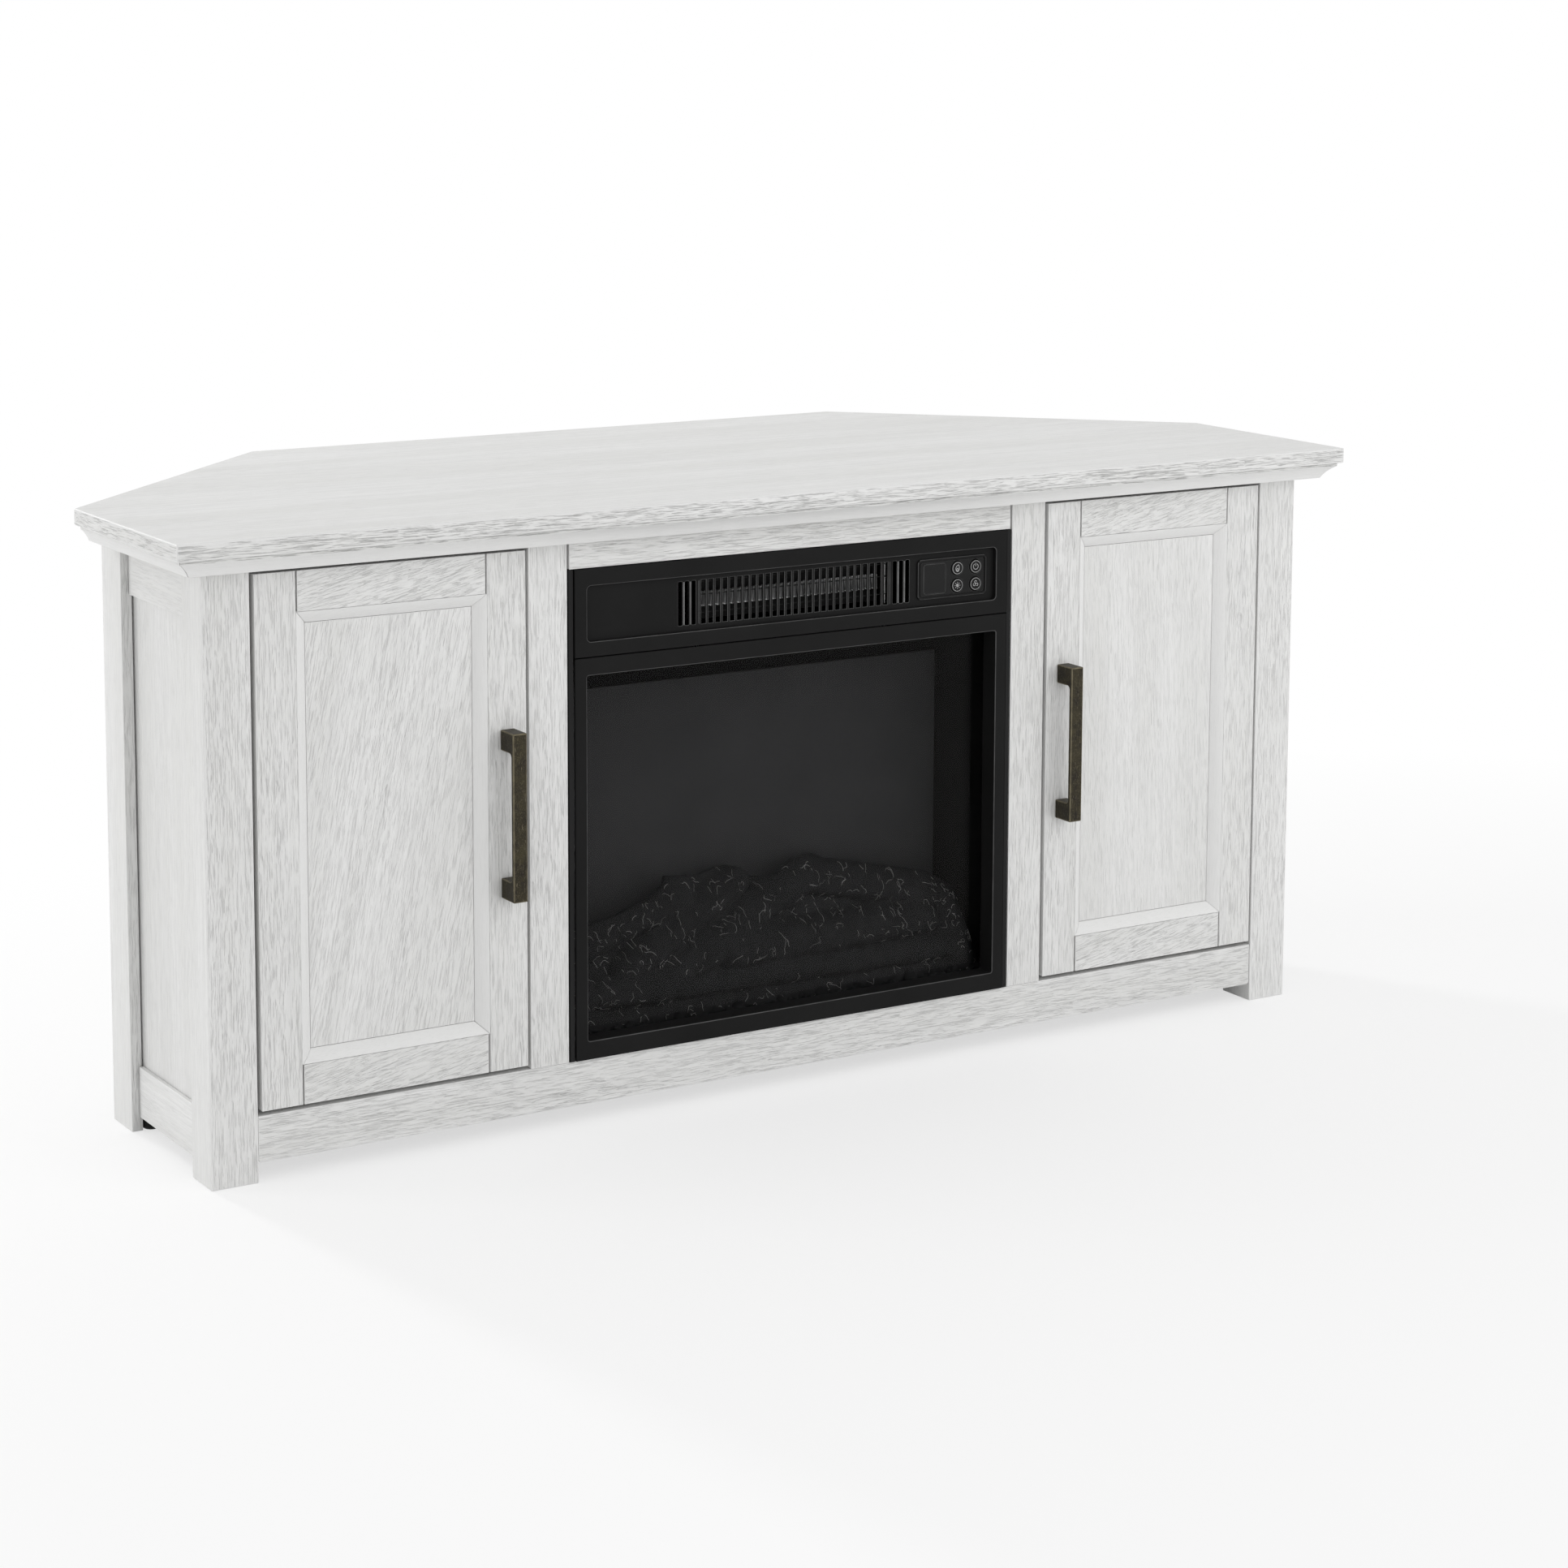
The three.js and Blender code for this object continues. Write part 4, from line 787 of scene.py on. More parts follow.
class Repeater:
    """A Geometry Nodes tree that repeats one piece along a line and turns each copy further."""

    INPUTS = {
        "Unit": "NodeSocketObject",
        "Count": "NodeSocketInt",
        "Start": "NodeSocketVector",
        "Step": "NodeSocketVector",
        "Turn": "NodeSocketVector",
        "Material": "NodeSocketMaterial",
    }
    NODES = {
        "given": "NodeGroupInput",
        "unit": "GeometryNodeObjectInfo",
        "line": "GeometryNodeMeshLine",
        "index": "GeometryNodeInputIndex",
        "scaled": "ShaderNodeVectorMath",
        "turned": "FunctionNodeEulerToRotation",
        "copies": "GeometryNodeInstanceOnPoints",
        "real": "GeometryNodeRealizeInstances",
        "dressed": "GeometryNodeSetMaterial",
        "result": "NodeGroupOutput",
    }
    LINKS = (
        ("given", "Unit", "unit", "Object"),
        ("given", "Count", "line", "Count"),
        ("given", "Start", "line", "Start Location"),
        ("given", "Step", "line", "Offset"),
        ("given", "Turn", "scaled", 0),
        ("index", "Index", "scaled", "Scale"),
        ("scaled", "Vector", "turned", "Euler"),
        ("line", "Mesh", "copies", "Points"),
        ("unit", "Geometry", "copies", "Instance"),
        ("turned", "Rotation", "copies", "Rotation"),
        ("copies", "Instances", "real", "Geometry"),
        ("real", "Geometry", "dressed", "Geometry"),
        ("given", "Material", "dressed", "Material"),
        ("dressed", "Geometry", "result", "Geometry"),
    )

    def __init__(self) -> None:
        """Builds the tree."""
        self.tree = bpy.data.node_groups.new("repeated_piece", "GeometryNodeTree")
        face = self.tree.interface
        face.new_socket("Geometry", in_out="OUTPUT", socket_type="NodeSocketGeometry")
        pairs = self.INPUTS.items()
        self.keys = {n: face.new_socket(n, in_out="INPUT", socket_type=t).identifier for n, t in pairs}
        nodes = {name: self.tree.nodes.new(kind) for name, kind in self.NODES.items()}
        nodes["line"].mode = "OFFSET"
        nodes["scaled"].operation = "SCALE"
        for source, output, target, socket in self.LINKS:
            self.tree.links.new(nodes[source].outputs[output], nodes[target].inputs[socket])

    def row(
        self, unit: Mesh, count: int, start: Triple, step: Triple, material: Material, turn: Triple
    ) -> Mesh:
        """Repeats a mesh and turns the result into a plain mesh.

        Args:
            unit: the mesh of one piece about the origin, which is used up.
            count: how many copies there are.
            start: the first copy's place.
            step: the way from one copy to the next.
            material: what they are made of.
            turn: how much further each copy is turned about X, Y and Z.

        Returns:
            The copies as one mesh.
        """
        pattern = hung("unit", unit)
        carrier = hung("row", bpy.data.meshes.new("row"))
        modifier = carrier.modifiers.new("row", "NODES")
        modifier.node_group = self.tree
        for key, value in zip(self.INPUTS, (pattern, count, start, step, turn, material)):
            modifier[self.keys[key]] = value
        return baked(carrier, pattern)


class Workshop:
    """Finishes pieces and seats them on the frame."""

    def __init__(self, frame: dict) -> None:
        """Keeps the frame and makes the finishes and the repeater."""
        self.nodes = frame["nodes"]
        self.materials = {finish: recipe.build() for finish, recipe in FINISHES.items()}
        self.repeater = Repeater()

    def body_of(self, node: str) -> str:
        """Gives the body that a node rides on."""
        return self.nodes[node]["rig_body"]

    def seat(
        self,
        name: str,
        mesh: Mesh,
        finish: Finish,
        body: str = "cabinet",
        stands_for: Iterable[str] = (),
        material: Material | None = None,
        weighted: bool = True,
    ) -> None:
        """Makes a mesh a finished piece of the stand.

        Args:
            name: the piece's name.
            mesh: its mesh, in its place.
            finish: what it is made of.
            body: the body that it rides on.
            stands_for: the frame nodes that it replaces.
            material: a material of its own, where it isn't the finish's.
            weighted: whether its large faces keep their shading flat.
        """
        piece = hung(name, mesh)
        mesh.materials.clear()
        mesh.materials.append(material or self.materials[finish])
        if weighted:
            piece.modifiers.new("flat_faces", "WEIGHTED_NORMAL").weight = 100
        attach(piece, body)
        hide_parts(*stands_for)
        LOG.info("%s: %d faces on %s", name, len(mesh.polygons), body)

    def replace(self, prefix: str, node: str, mesh: Mesh, finish: Finish, **options: object) -> None:
        """Seats a mesh that stands for one node, on the node's body, under the node's name and a prefix."""
        self.seat(f"{prefix}_{node}", mesh, finish, self.body_of(node), [node], **options)

    def row(
        self,
        unit: Mesh,
        count: int,
        start: Triple,
        step: Triple,
        finish: Finish = Finish.STEEL,
        turn: Triple = (0, 0, 0),
    ) -> Mesh:
        """Repeats a mesh, which is used up, in a row."""
        return self.repeater.row(unit, count, start, step, self.materials[finish], turn)

    def merged_copy(self, node: str) -> BMesh:
        """Copies a node's mesh with its corners merged and its flat faces whole."""
        bm = merged(self.nodes[node].data)
        bmesh.ops.dissolve_limit(bm, angle_limit=math.radians(1), verts=bm.verts[:], edges=bm.edges[:])
        return bm

    def eased(self, node: str, edge: float, segments: int = 2, sharper_than: float = 25.0) -> Mesh:
        """Copies a node's mesh with eased edges."""
        bm = self.merged_copy(node)
        ease(bm, edge, segments, sharper_than)
        return to_mesh(bm)

    def board(self, node: str, grain: Grain, edge: float, figure: Figure = PLAIN) -> None:
        """Finishes a node as an oak board with eased edges.

        Args:
            node: the node that the board stands for.
            grain: the way that its grain runs.
            edge: how far its edges are eased.
            figure: how its figure is laid.
        """
        self.grained(node, self.eased(node, edge), grain, figure)

    def grained(self, node: str, mesh: Mesh, grain: Grain, figure: Figure) -> None:
        """Lays the grain on a node's mesh and seats it."""
        lay_grain(mesh, grain, node, figure)
        self.replace("oak", node, mesh, Finish.OAK)

    def bored(self, mesh: Mesh, tools: Iterable[Mesh]) -> Mesh:
        """Cuts closed shapes, which are used up, out of a mesh."""
        body = hung("bored", mesh)
        cutters = [hung("tool", tool) for tool in tools]
        for cutter in cutters:
            modifier = body.modifiers.new("bore", "BOOLEAN")
            modifier.operation = "DIFFERENCE"
            modifier.solver = "EXACT"
            modifier.object = cutter
        return baked(body, *cutters)

    def screw_head(self, radius: float, rise: float, place: Matrix) -> Mesh:
        """Makes a domed screw head with a cross recess, standing on its foot along Z before it is placed.

        Args:
            radius: the head's radius.
            rise: its height.
            place: carries it to its place.

        Returns:
            Its mesh.
        """
        steps = 5
        angles = [QUARTER * i / steps for i in range(steps)]
        dome = [(radius * math.cos(a), rise * math.sin(a)) for a in angles]
        head = lathe([(0, 0), *dome, (0, rise)], 20, Matrix.Identity(4))
        arm = radius * 0.62
        half = radius * 0.13
        cuts = ((arm, half), (half, arm))
        tools = [box_mesh((-x, -y, rise * 0.35), (x, y, rise * 2), half / 4, 1) for x, y in cuts]
        head = self.bored(head, tools)
        head.transform(place)
        return head


@dataclass
class Carcase:
    """The oak carcase: top, moulding, legs, rails, panels, shelves and back."""

    shop: Workshop
    crisp: float = 0.0006
    soft: float = 0.0011
    thin: float = 0.0004
    top_figure: Figure = Figure(bold=1.6)
    quirk: float = 0.003
    glide_round: float = 0.004
    nail_radius: float = 0.003
    nail_rise: float = 0.0008
    nail_inset: float = 0.011
    pin_radius: float = 0.0025
    pin_length: float = 0.009
    pin_inset: float = 0.045
    hole_height: float = 0.19
    hole_radius: float = 0.03
    grommet_lip: float = 0.006
    grommet_wall: float = 0.0022
    grommet_rise: float = 0.0018

    def build(self) -> None:
        """Makes all its pieces."""
        self.make_boards()
        for side in SIDES:
            self.make_glide(side)
            self.make_shelf_pins(side)
            self.make_grommet(side)
        self.make_back_nails()

    def make_boards(self) -> None:
        """Finishes the moulding and every board that is plain apart from its edges."""
        across, deep, upright = Grain.ACROSS, Grain.DEEP, Grain.UPRIGHT
        self.shop.board("top_panel", across, self.soft, self.top_figure)
        self.make_moulding("front_moulding", across)
        self.shop.board("front_bottom_rail", across, self.crisp)
        self.shop.board("fireplace_filler", across, self.thin)
        self.shop.board("bottom_panel", across, self.thin)
        self.shop.board("centre_back_panel", upright, self.thin)
        for side in SIDES:
            self.make_moulding(f"{side}_moulding", deep)
            for node, grain, edge in (
                ("front_leg", upright, self.soft),
                ("side_leg", upright, self.crisp),
                ("rear_leg", upright, self.crisp),
                ("side_panel", upright, self.thin),
                ("upper_side_rail", deep, self.crisp),
                ("lower_side_rail", deep, self.crisp),
                ("divider", upright, self.crisp),
                ("partition", upright, self.thin),
                ("shelf", across, self.crisp),
                ("angled_back", upright, self.thin),
            ):
                self.shop.board(f"{side}_{node}", grain, edge)

    def make_moulding(self, node: str, grain: Grain) -> None:
        """Finishes a strip of moulding, its quirk closed up by the wash.

        Args:
            node: the node that it stands for.
            grain: the way that its grain runs.
        """
        bm = self.shop.merged_copy(node)
        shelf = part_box(node)[1].z - self.quirk

        def out(vertex: Vert) -> float:
            """Gives how far out a corner lies."""
            return -vertex.co.y if grain is Grain.ACROSS else abs(vertex.co.x)

        upper = [v for v in bm.verts if v.co.z > shelf - NEAR]
        reach = max(out(v) for v in upper)
        widest = [v.co.copy() for v in upper if out(v) > reach - NEAR]
        for vertex in upper:
            near = min(widest, key=lambda spot: (spot.xy - vertex.co.xy).length)
            if (near.xy - vertex.co.xy).length < 2 * self.quirk:
                vertex.co.xy = near.xy
        bmesh.ops.remove_doubles(bm, verts=bm.verts[:], dist=MERGE)
        ease(bm, self.thin)
        self.shop.grained(node, to_mesh(bm), grain, self.top_figure)

    def make_glide(self, side: str) -> None:
        """Turns the black glide under a side panel."""
        node = f"{side}_glide"
        low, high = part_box(node)
        radius = (high.x - low.x) / 2
        bend = self.glide_round
        inner = radius - bend
        steps = 6
        angles = [QUARTER * i / steps for i in range(steps + 1)]
        foot = [(inner + bend * math.sin(a), bend * (1 - math.cos(a))) for a in angles]
        top = high.z - low.z
        profile = [(0, 0), *foot, (radius, top - self.crisp), (radius - self.crisp, top), (0, top)]
        place = Matrix.Translation(((low.x + high.x) / 2, (low.y + high.y) / 2, low.z))
        self.shop.replace("moulded", node, lathe(profile, 40, place), Finish.PLASTIC)

    def make_shelf_pins(self, side: str) -> None:
        """Sets four steel pins under a shelf, two into the partition and two into the side panel."""
        low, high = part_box(f"{side}_shelf")
        panel_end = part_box(f"{side}_side_panel")[1].y
        inner_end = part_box(f"{side}_partition")[1].y
        outer = -1 if side == "left" else 1
        front = low.y + self.pin_inset
        ends = {outer: panel_end - self.pin_inset, -outer: inner_end - 2 * self.pin_inset}
        wide, tall = self.pin_radius, self.pin_length
        profile = [(0, 0), (wide, 0), (wide, tall * 0.85), (wide * 0.7, tall), (0, tall)]
        rows = []
        for x, out in ((low.x, -1), (high.x, 1)):
            unit = lathe(profile, 16, Matrix.Rotation(-out * QUARTER, 4, "Y"))
            start = (x, front, low.z - wide - FIT_GAP)
            rows.append(self.shop.row(unit, 2, start, (0, ends[out] - front, 0)))
        self.shop.seat(f"{side}_shelf_pins", joined(*rows), Finish.STEEL)

    def make_grommet(self, side: str) -> None:
        """Nails an angled back panel along its upright edges and lines its cable hole with a black ring."""
        node = f"{side}_angled_back"
        low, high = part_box(node)
        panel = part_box("centre_back_panel")
        half = (panel[1].y - panel[0].y) / 2
        faces = self.shop.nodes[node].data.polygons
        normal = max((f for f in faces if f.normal.y > 0.1), key=lambda f: f.area).normal
        spin = normal.to_track_quat("Z", "Y").to_matrix().to_4x4()
        centre = Vector(((low.x + high.x) / 2, (low.y + high.y) / 2, self.hole_height))

        along = normal.cross(Vector((0, 0, 1))).normalized()
        reach = Vector((high.x - low.x, high.y - low.y, 0)).length / 2 - 2 * self.nail_inset
        count = 6
        step = (0, 0, (high.z - low.z - 2 * self.nail_inset) / (count - 1))
        rows = []
        for sign in (-1, 1):
            foot = centre + normal * half + along * sign * reach
            rows.append(self.nails(count, (foot.x, foot.y, low.z + self.nail_inset), step, spin))
        self.shop.seat(f"{side}_back_nails", joined(*rows), Finish.STEEL)

        bore = self.hole_radius - self.grommet_wall
        lip = self.hole_radius + self.grommet_lip
        rise = half + self.grommet_rise
        neck = self.hole_radius - FIT_GAP
        seat = half + FIT_GAP
        lower = [(bore, -rise), (lip - self.grommet_rise, -rise), (lip, -seat), (neck, -seat)]
        upper = [(radius, -height) for radius, height in reversed(lower)]
        profile = [*lower, *upper, lower[0]]
        ring = lathe(profile, 48, Matrix.Translation(centre) @ spin)
        self.shop.seat(f"{side}_cable_grommet", ring, Finish.PLASTIC)

    def make_back_nails(self) -> None:
        """Nails the middle back panel along its four edges."""
        low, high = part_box("centre_back_panel")
        inset = self.nail_inset
        across = 7
        upright = 6
        wide = (high.x - low.x - 2 * inset) / (across - 1)
        tall = (high.z - low.z - 2 * inset) / (upright - 1)
        spin = facing_y()
        rows = []
        for z in (low.z + inset, high.z - inset):
            rows.append(self.nails(across, (low.x + inset, high.y, z), (wide, 0, 0), spin))
        for x in (low.x + inset, high.x - inset):
            rows.append(self.nails(upright - 2, (x, high.y, low.z + inset + tall), (0, 0, tall), spin))
        self.shop.seat("back_panel_nails", joined(*rows), Finish.STEEL)

    def nails(self, count: int, start: Triple, step: Triple, spin: Matrix) -> Mesh:
        """Repeats one nail head in a row.

        Args:
            count: how many nails there are.
            start: the first one's place.
            step: the way from one to the next.
            spin: turns a head that stands along Z the way it faces.

        Returns:
            The nails' mesh.
        """
        wide, rise = self.nail_radius, self.nail_rise
        profile = [(0, 0), (wide, 0), (wide, rise * 0.4), (wide * 0.7, rise), (0, rise)]
        return self.shop.row(lathe(profile, 16, spin), count, start, step)


@dataclass
class Door:
    """One panelled door with its handle and hinge cups, and the hinge arms behind it."""

    shop: Workshop
    side: str
    slope: float = 0.0108
    fall: float = 0.008
    swell: float = 0.0009
    swell_steps: int = 6
    edge: float = 0.0004
    joint_gap: float = 0.001
    joint_close: float = 0.06  # how far before the slope the open joint has closed, in slopes
    left_figure: Figure = Figure(-0.2, 0.02, 0.35, 0.85)
    right_figure: Figure = Figure(0.02, 0.0, 0.2, 0.6)
    rail_figure: Figure = Figure(0.22, 0.05)
    handle_edge: float = 0.0011
    cup_radius: float = 0.013
    cup_depth: float = 0.008
    cup_inset: float = 0.0215
    cup_rim: float = 0.0014
    screw_radius: float = 0.0038
    screw_rise: float = 0.0018
    post: float = 0.018
    arm_edge: float = 0.0006
    arm_plate: float = 0.002
    arm_screw_radius: float = 0.0032
    arm_screw_rise: float = 0.0014
    arm_screw_spread: float = 0.032
    arm_screw_back: float = 0.012

    def build(self) -> None:
        """Makes all its pieces."""
        self.body = f"{self.side}_door"
        self.inward = 1 if self.side == "left" else -1
        self.hinges = [f"{self.side}_{level}_hinge_arm" for level in ("lower", "upper")]
        for part, axis, grain in (
            ("outer_stile", 0, Grain.UPRIGHT),
            ("inner_stile", 0, Grain.UPRIGHT),
            ("top_rail", 2, Grain.ACROSS),
            ("bottom_rail", 2, Grain.ACROSS),
        ):
            self.make_member(f"{self.body}_{part}", axis, grain)
        figure = self.left_figure if self.side == "left" else self.right_figure
        self.shop.board(f"{self.body}_panel", Grain.UPRIGHT, self.edge, figure)
        handle = f"{self.body}_handle"
        self.shop.replace("bronze", handle, self.shop.eased(handle, self.handle_edge, 3, 40), Finish.BRONZE)
        self.make_cups()
        self.make_handle_screws()
        self.make_hinge_arms()

    def make_member(self, node: str, axis: int, grain: Grain) -> None:
        """Finishes a stile or a rail: its slope swells a little, and its edges are eased.

        Args:
            node: the node that it stands for.
            axis: the axis across it, 0 for a stile and 2 for a rail.
            grain: the way that its grain runs.
        """
        low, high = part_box(node)
        panel_low, panel_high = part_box(f"{self.body}_panel")
        inward = 1 if (panel_low[axis] + panel_high[axis]) > (low[axis] + high[axis]) else -1
        end = high[axis] if inward > 0 else low[axis]
        bm = self.shop.merged_copy(node)
        shares = [i / self.swell_steps for i in range(1, self.swell_steps)]
        for share in [-self.joint_close, *shares]:
            normal, at = Vector((0, 0, 0)), Vector((0, 0, 0))
            normal[axis] = 1
            at[axis] = end - inward * self.slope * (1 - share)
            everything = bm.verts[:] + bm.edges[:] + bm.faces[:]
            bmesh.ops.bisect_plane(bm, geom=everything, dist=MERGE, plane_co=at, plane_no=normal)

        def share_of(vertex: Vert) -> float:
            """Gives how far down the slope a corner lies, below 0 before it."""
            return 1 - inward * (end - vertex.co[axis]) / self.slope

        for vertex in bm.verts:
            share = share_of(vertex)
            if 0 < share < 1 and abs(vertex.co.y - low.y - self.fall * share) < NEAR:
                vertex.co.y -= 4 * self.swell * share * (1 - share)
            if grain is Grain.ACROSS and share < -self.joint_close / 2:
                vertex.co.x -= math.copysign(self.joint_gap, vertex.co.x - (low.x + high.x) / 2)

        def on_mitre(edge: bmesh.types.BMEdge) -> bool:
            """Tells whether an edge lies on the mitre of the slope, which fits too closely to be eased."""
            shares = sorted(share_of(v) for v in edge.verts)
            return shares[0] > -2 * self.joint_close and shares[1] - shares[0] > 0.01

        ease(bm, self.edge, 2, 35, on_mitre)
        mesh = to_mesh(bm)
        if node.endswith("outer_stile"):
            reach = self.cup_radius + FIT_GAP
            deep = self.cup_depth + FIT_GAP
            bore = [(0, -deep), (reach, -deep), (reach, deep), (0, deep)]
            mesh = self.shop.bored(mesh, [lathe(bore, 40, place) for place in self.cup_places()])
        self.shop.grained(node, mesh, grain, self.rail_figure if grain is Grain.ACROSS else PLAIN)

    def cup_places(self) -> list[Matrix]:
        """Gives the places of the two hinge cups, on the door's back face."""
        low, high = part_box(f"{self.body}_outer_stile")
        x = low.x + self.cup_inset if self.side == "left" else high.x - self.cup_inset
        boxes = [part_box(node) for node in self.hinges]
        return [facing_y(x, high.y, (below.z + above.z) / 2) for below, above in boxes]

    def make_cups(self) -> None:
        """Sets a pressed steel cup into each bore."""
        deep, rim, wall = self.cup_depth, self.cup_radius, self.cup_rim
        outside = [(0, -deep), (rim, -deep), (rim, 0), (rim - wall, 0), (rim - 2 * wall, -wall)]
        inside = [(rim - 2 * wall, 2 * wall - deep), (rim - 4 * wall, wall - deep), (0, wall - deep)]
        cups = [lathe(outside + inside, 40, place) for place in self.cup_places()]
        self.shop.seat(f"{self.side}_hinge_cups", joined(*cups), Finish.STEEL, self.body)

    def make_handle_screws(self) -> None:
        """Sets the two screws that hold the handle, on the back of the door."""
        low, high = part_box(f"{self.body}_handle")
        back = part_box(f"{self.body}_inner_stile")[1].y
        head = self.shop.screw_head(self.screw_radius, self.screw_rise, facing_y())
        start = ((low.x + high.x) / 2, back, low.z + self.post / 2)
        mesh = self.shop.row(head, 2, start, (0, 0, high.z - low.z - self.post))
        self.shop.seat(f"{self.side}_handle_screws", mesh, Finish.STEEL, self.body)

    def make_hinge_arms(self) -> None:
        """Makes both hinge arms and their screws."""
        screws = []
        spread = self.arm_screw_spread
        place = Matrix.Rotation(self.inward * QUARTER, 4, "Y")
        for node in self.hinges:
            low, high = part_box(node)
            self.shop.replace("steel", node, self.shop.eased(node, self.arm_edge), Finish.STEEL)
            plate = (low.x if self.inward > 0 else high.x) + self.inward * self.arm_plate
            head = self.shop.screw_head(self.arm_screw_radius, self.arm_screw_rise, place)
            start = (plate, high.y - self.arm_screw_back / 2, (low.z + high.z - spread) / 2)
            screws.append(self.shop.row(head, 2, start, (0, 0, spread)))
        self.shop.seat(f"{self.side}_hinge_screws", joined(*screws), Finish.STEEL)


@dataclass
class Header:
    """The plate above the glass: recess, grille, heater ribbon, control panel and buttons."""

    shop: Workshop
    edge: float = 0.0006
    recess_width: float = 0.4348
    recess_height: float = 0.0498
    recess_top: float = 0.0152
    recess_depth: float = 0.005
    recess_corner: float = 0.004
    recess_lap: float = 0.002
    floor: float = 0.002
    slots: int = 27
    pitch: float = 0.00745
    bar: float = 0.0024
    bar_edge: float = 0.00025
    slot_height: float = 0.0399
    end_slots: int = 3
    end_start: float = 0.1071
    end_pitch: float = 0.00685
    end_width: float = 0.0046
    rib_radius: float = 0.0009
    wire_shares: Triple = (0.05, 0.34, 0.75)  # down the slots' height
    wire_radius: float = 0.0005
    window_lap: float = 0.0025
    panel_corner: float = 0.004
    rim_width: float = 0.0018
    groove_width: float = 0.0011
    groove_depth: float = 0.0010
    display_width: float = 0.024
    display_height: float = 0.0281
    display_margin: float = 0.0065
    display_corner: float = 0.003
    button_radius: float = 0.0067
    flange: float = 0.0008
    ring_radius: float = 0.0054
    line: float = 0.0003
    pleats: int = 27
    pleat_steps: int = 8
    ribbon_height: float = 0.0135
    ribbon_thickness: float = 0.0004
    ribbon_start: float = 0.0125
    ribbon_wave: float = 0.006
    ribbon_slant: float = 0.0012
    ribbon_curl: float = 0.0006
    fold_sharpness: float = 1.7
    # Painted glints: how bright the folds are painted, at the ribbon's foot, on its body and at its top.
    fold_shine: Triple = (1.0, 0.25, 0.9)  # at the ribbon's foot, on its body and at its top
    plate: float = 0.002

    def build(self) -> None:
        """Makes all its pieces."""
        self.low, self.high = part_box("header_plate")
        self.middle = self.high.z - self.recess_top - self.recess_height / 2
        self.recess_floor = self.low.y + self.recess_depth
        self.print = BUTTON_PRINT.build()
        self.marks = {
            "flame_button": self.flame_mark,
            "power_button": self.power_mark,
            "light_button": self.light_mark,
            "heat_button": self.heat_mark,
        }
        self.make_plate()
        self.make_bars()
        self.make_panel()
        for node, mark in self.marks.items():
            self.make_button(node, mark)
        self.make_heater()

    def slot_outline(self, x: float, width: float) -> list[Pair]:
        """Gives the outline of an upright slot with rounded ends."""
        half = self.slot_height / 2
        low = (x - width / 2, self.middle - half)
        high = (x + width / 2, self.middle + half)
        return rounded(low, high, min(width / 2, self.edge * 2) * 0.98, 3)

    def make_plate(self) -> None:
        """Makes the plate and the floor of its recess, with the grille's opening and the end slots."""
        half = self.recess_width / 2
        reach = self.recess_height / 2
        recess = ((-half, self.middle - reach), (half, self.middle + reach))
        outlines = [rounded(*front_box("header_plate"), self.edge, 2), rounded(*recess, self.recess_corner)]
        # Painted highlight: the recess's edge is painted bright.
        rim = pierced_plate(outlines, self.low.y, self.recess_floor + self.floor / 4, self.edge, (0, 1))
        outlines = [rounded(*recess, self.recess_lap, inset=-self.recess_lap)]
        outlines.append(self.slot_outline(0, self.slots * self.pitch + self.bar))
        for i in range(self.end_slots):
            for sign in (-1, 1):
                x = sign * (self.end_start + i * self.end_pitch)
                outlines.append(self.slot_outline(x, self.end_width))
        outlines.append(rounded(*front_box("control_panel"), self.edge, 2, self.window_lap))
        # Painted highlight: the recess floor's outer edge and the slots' edges are painted bright.
        ground = pierced_plate(outlines, self.recess_floor, self.recess_floor + self.floor, self.edge * 0.6)
        self.shop.replace("black", "header_plate", joined(rim, ground), Finish.METAL)

    def make_bars(self) -> None:
        """Repeats the grille's bars, lays wires across behind them and sets ribs between the end slots."""
        half = self.slot_height / 2 + self.edge
        unit = box_mesh((-self.bar / 2, 0, -half), (self.bar / 2, self.floor, half), self.bar_edge)
        first = -self.slots * self.pitch / 2
        start = (first, self.recess_floor, self.middle)
        bars = self.shop.row(unit, self.slots + 1, start, (self.pitch, 0, 0), Finish.PLASTIC)
        self.shop.seat("grille_bars", bars, Finish.PLASTIC)
        wires = []
        for share in self.wire_shares:
            z = self.middle + self.slot_height * (0.5 - share)
            ends = [Vector((x, self.recess_floor + self.floor, z)) for x in (first, -first)]
            wires.append(tube(ends, self.wire_radius))
        self.shop.seat("grille_wires", joined(*wires), Finish.METAL)
        ribs = []
        reach = Vector((0, 0, half - 2 * self.edge))
        for sign in (-1, 1):
            for i in range(self.end_slots - 1):
                x = sign * (self.end_start + (i + 0.5) * self.end_pitch)
                centre = Vector((x, self.recess_floor, self.middle))
                # Painted highlight: the ribs are painted bright all over.
                ribs.append(tube([centre - reach, centre + reach], self.rib_radius, painted_sheen=True))
        self.shop.seat("end_slot_ribs", joined(*ribs), Finish.PLASTIC)

    def make_panel(self) -> None:
        """Makes the control panel: a raised rim, a groove and a plateau, pierced for buttons and display."""
        low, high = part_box("control_panel")

        def outline(inset: float) -> list[Pair]:
            """Gives the panel's outline drawn in by a distance."""
            return rounded(*front_box("control_panel"), self.panel_corner - inset * 0.6, inset=inset)

        left = low.x + self.display_margin
        reach = self.display_height / 2
        display = ((left, self.middle - reach), (left + self.display_width, self.middle + reach))
        holes = [rounded(*display, self.display_corner)]
        for node in self.marks:
            holes.append(self.arc(*self.button_middle(node), self.button_radius + FIT_GAP, 0, 1, 32)[:-1])
        floor = low.y + self.groove_depth
        edge = self.groove_depth * 0.42
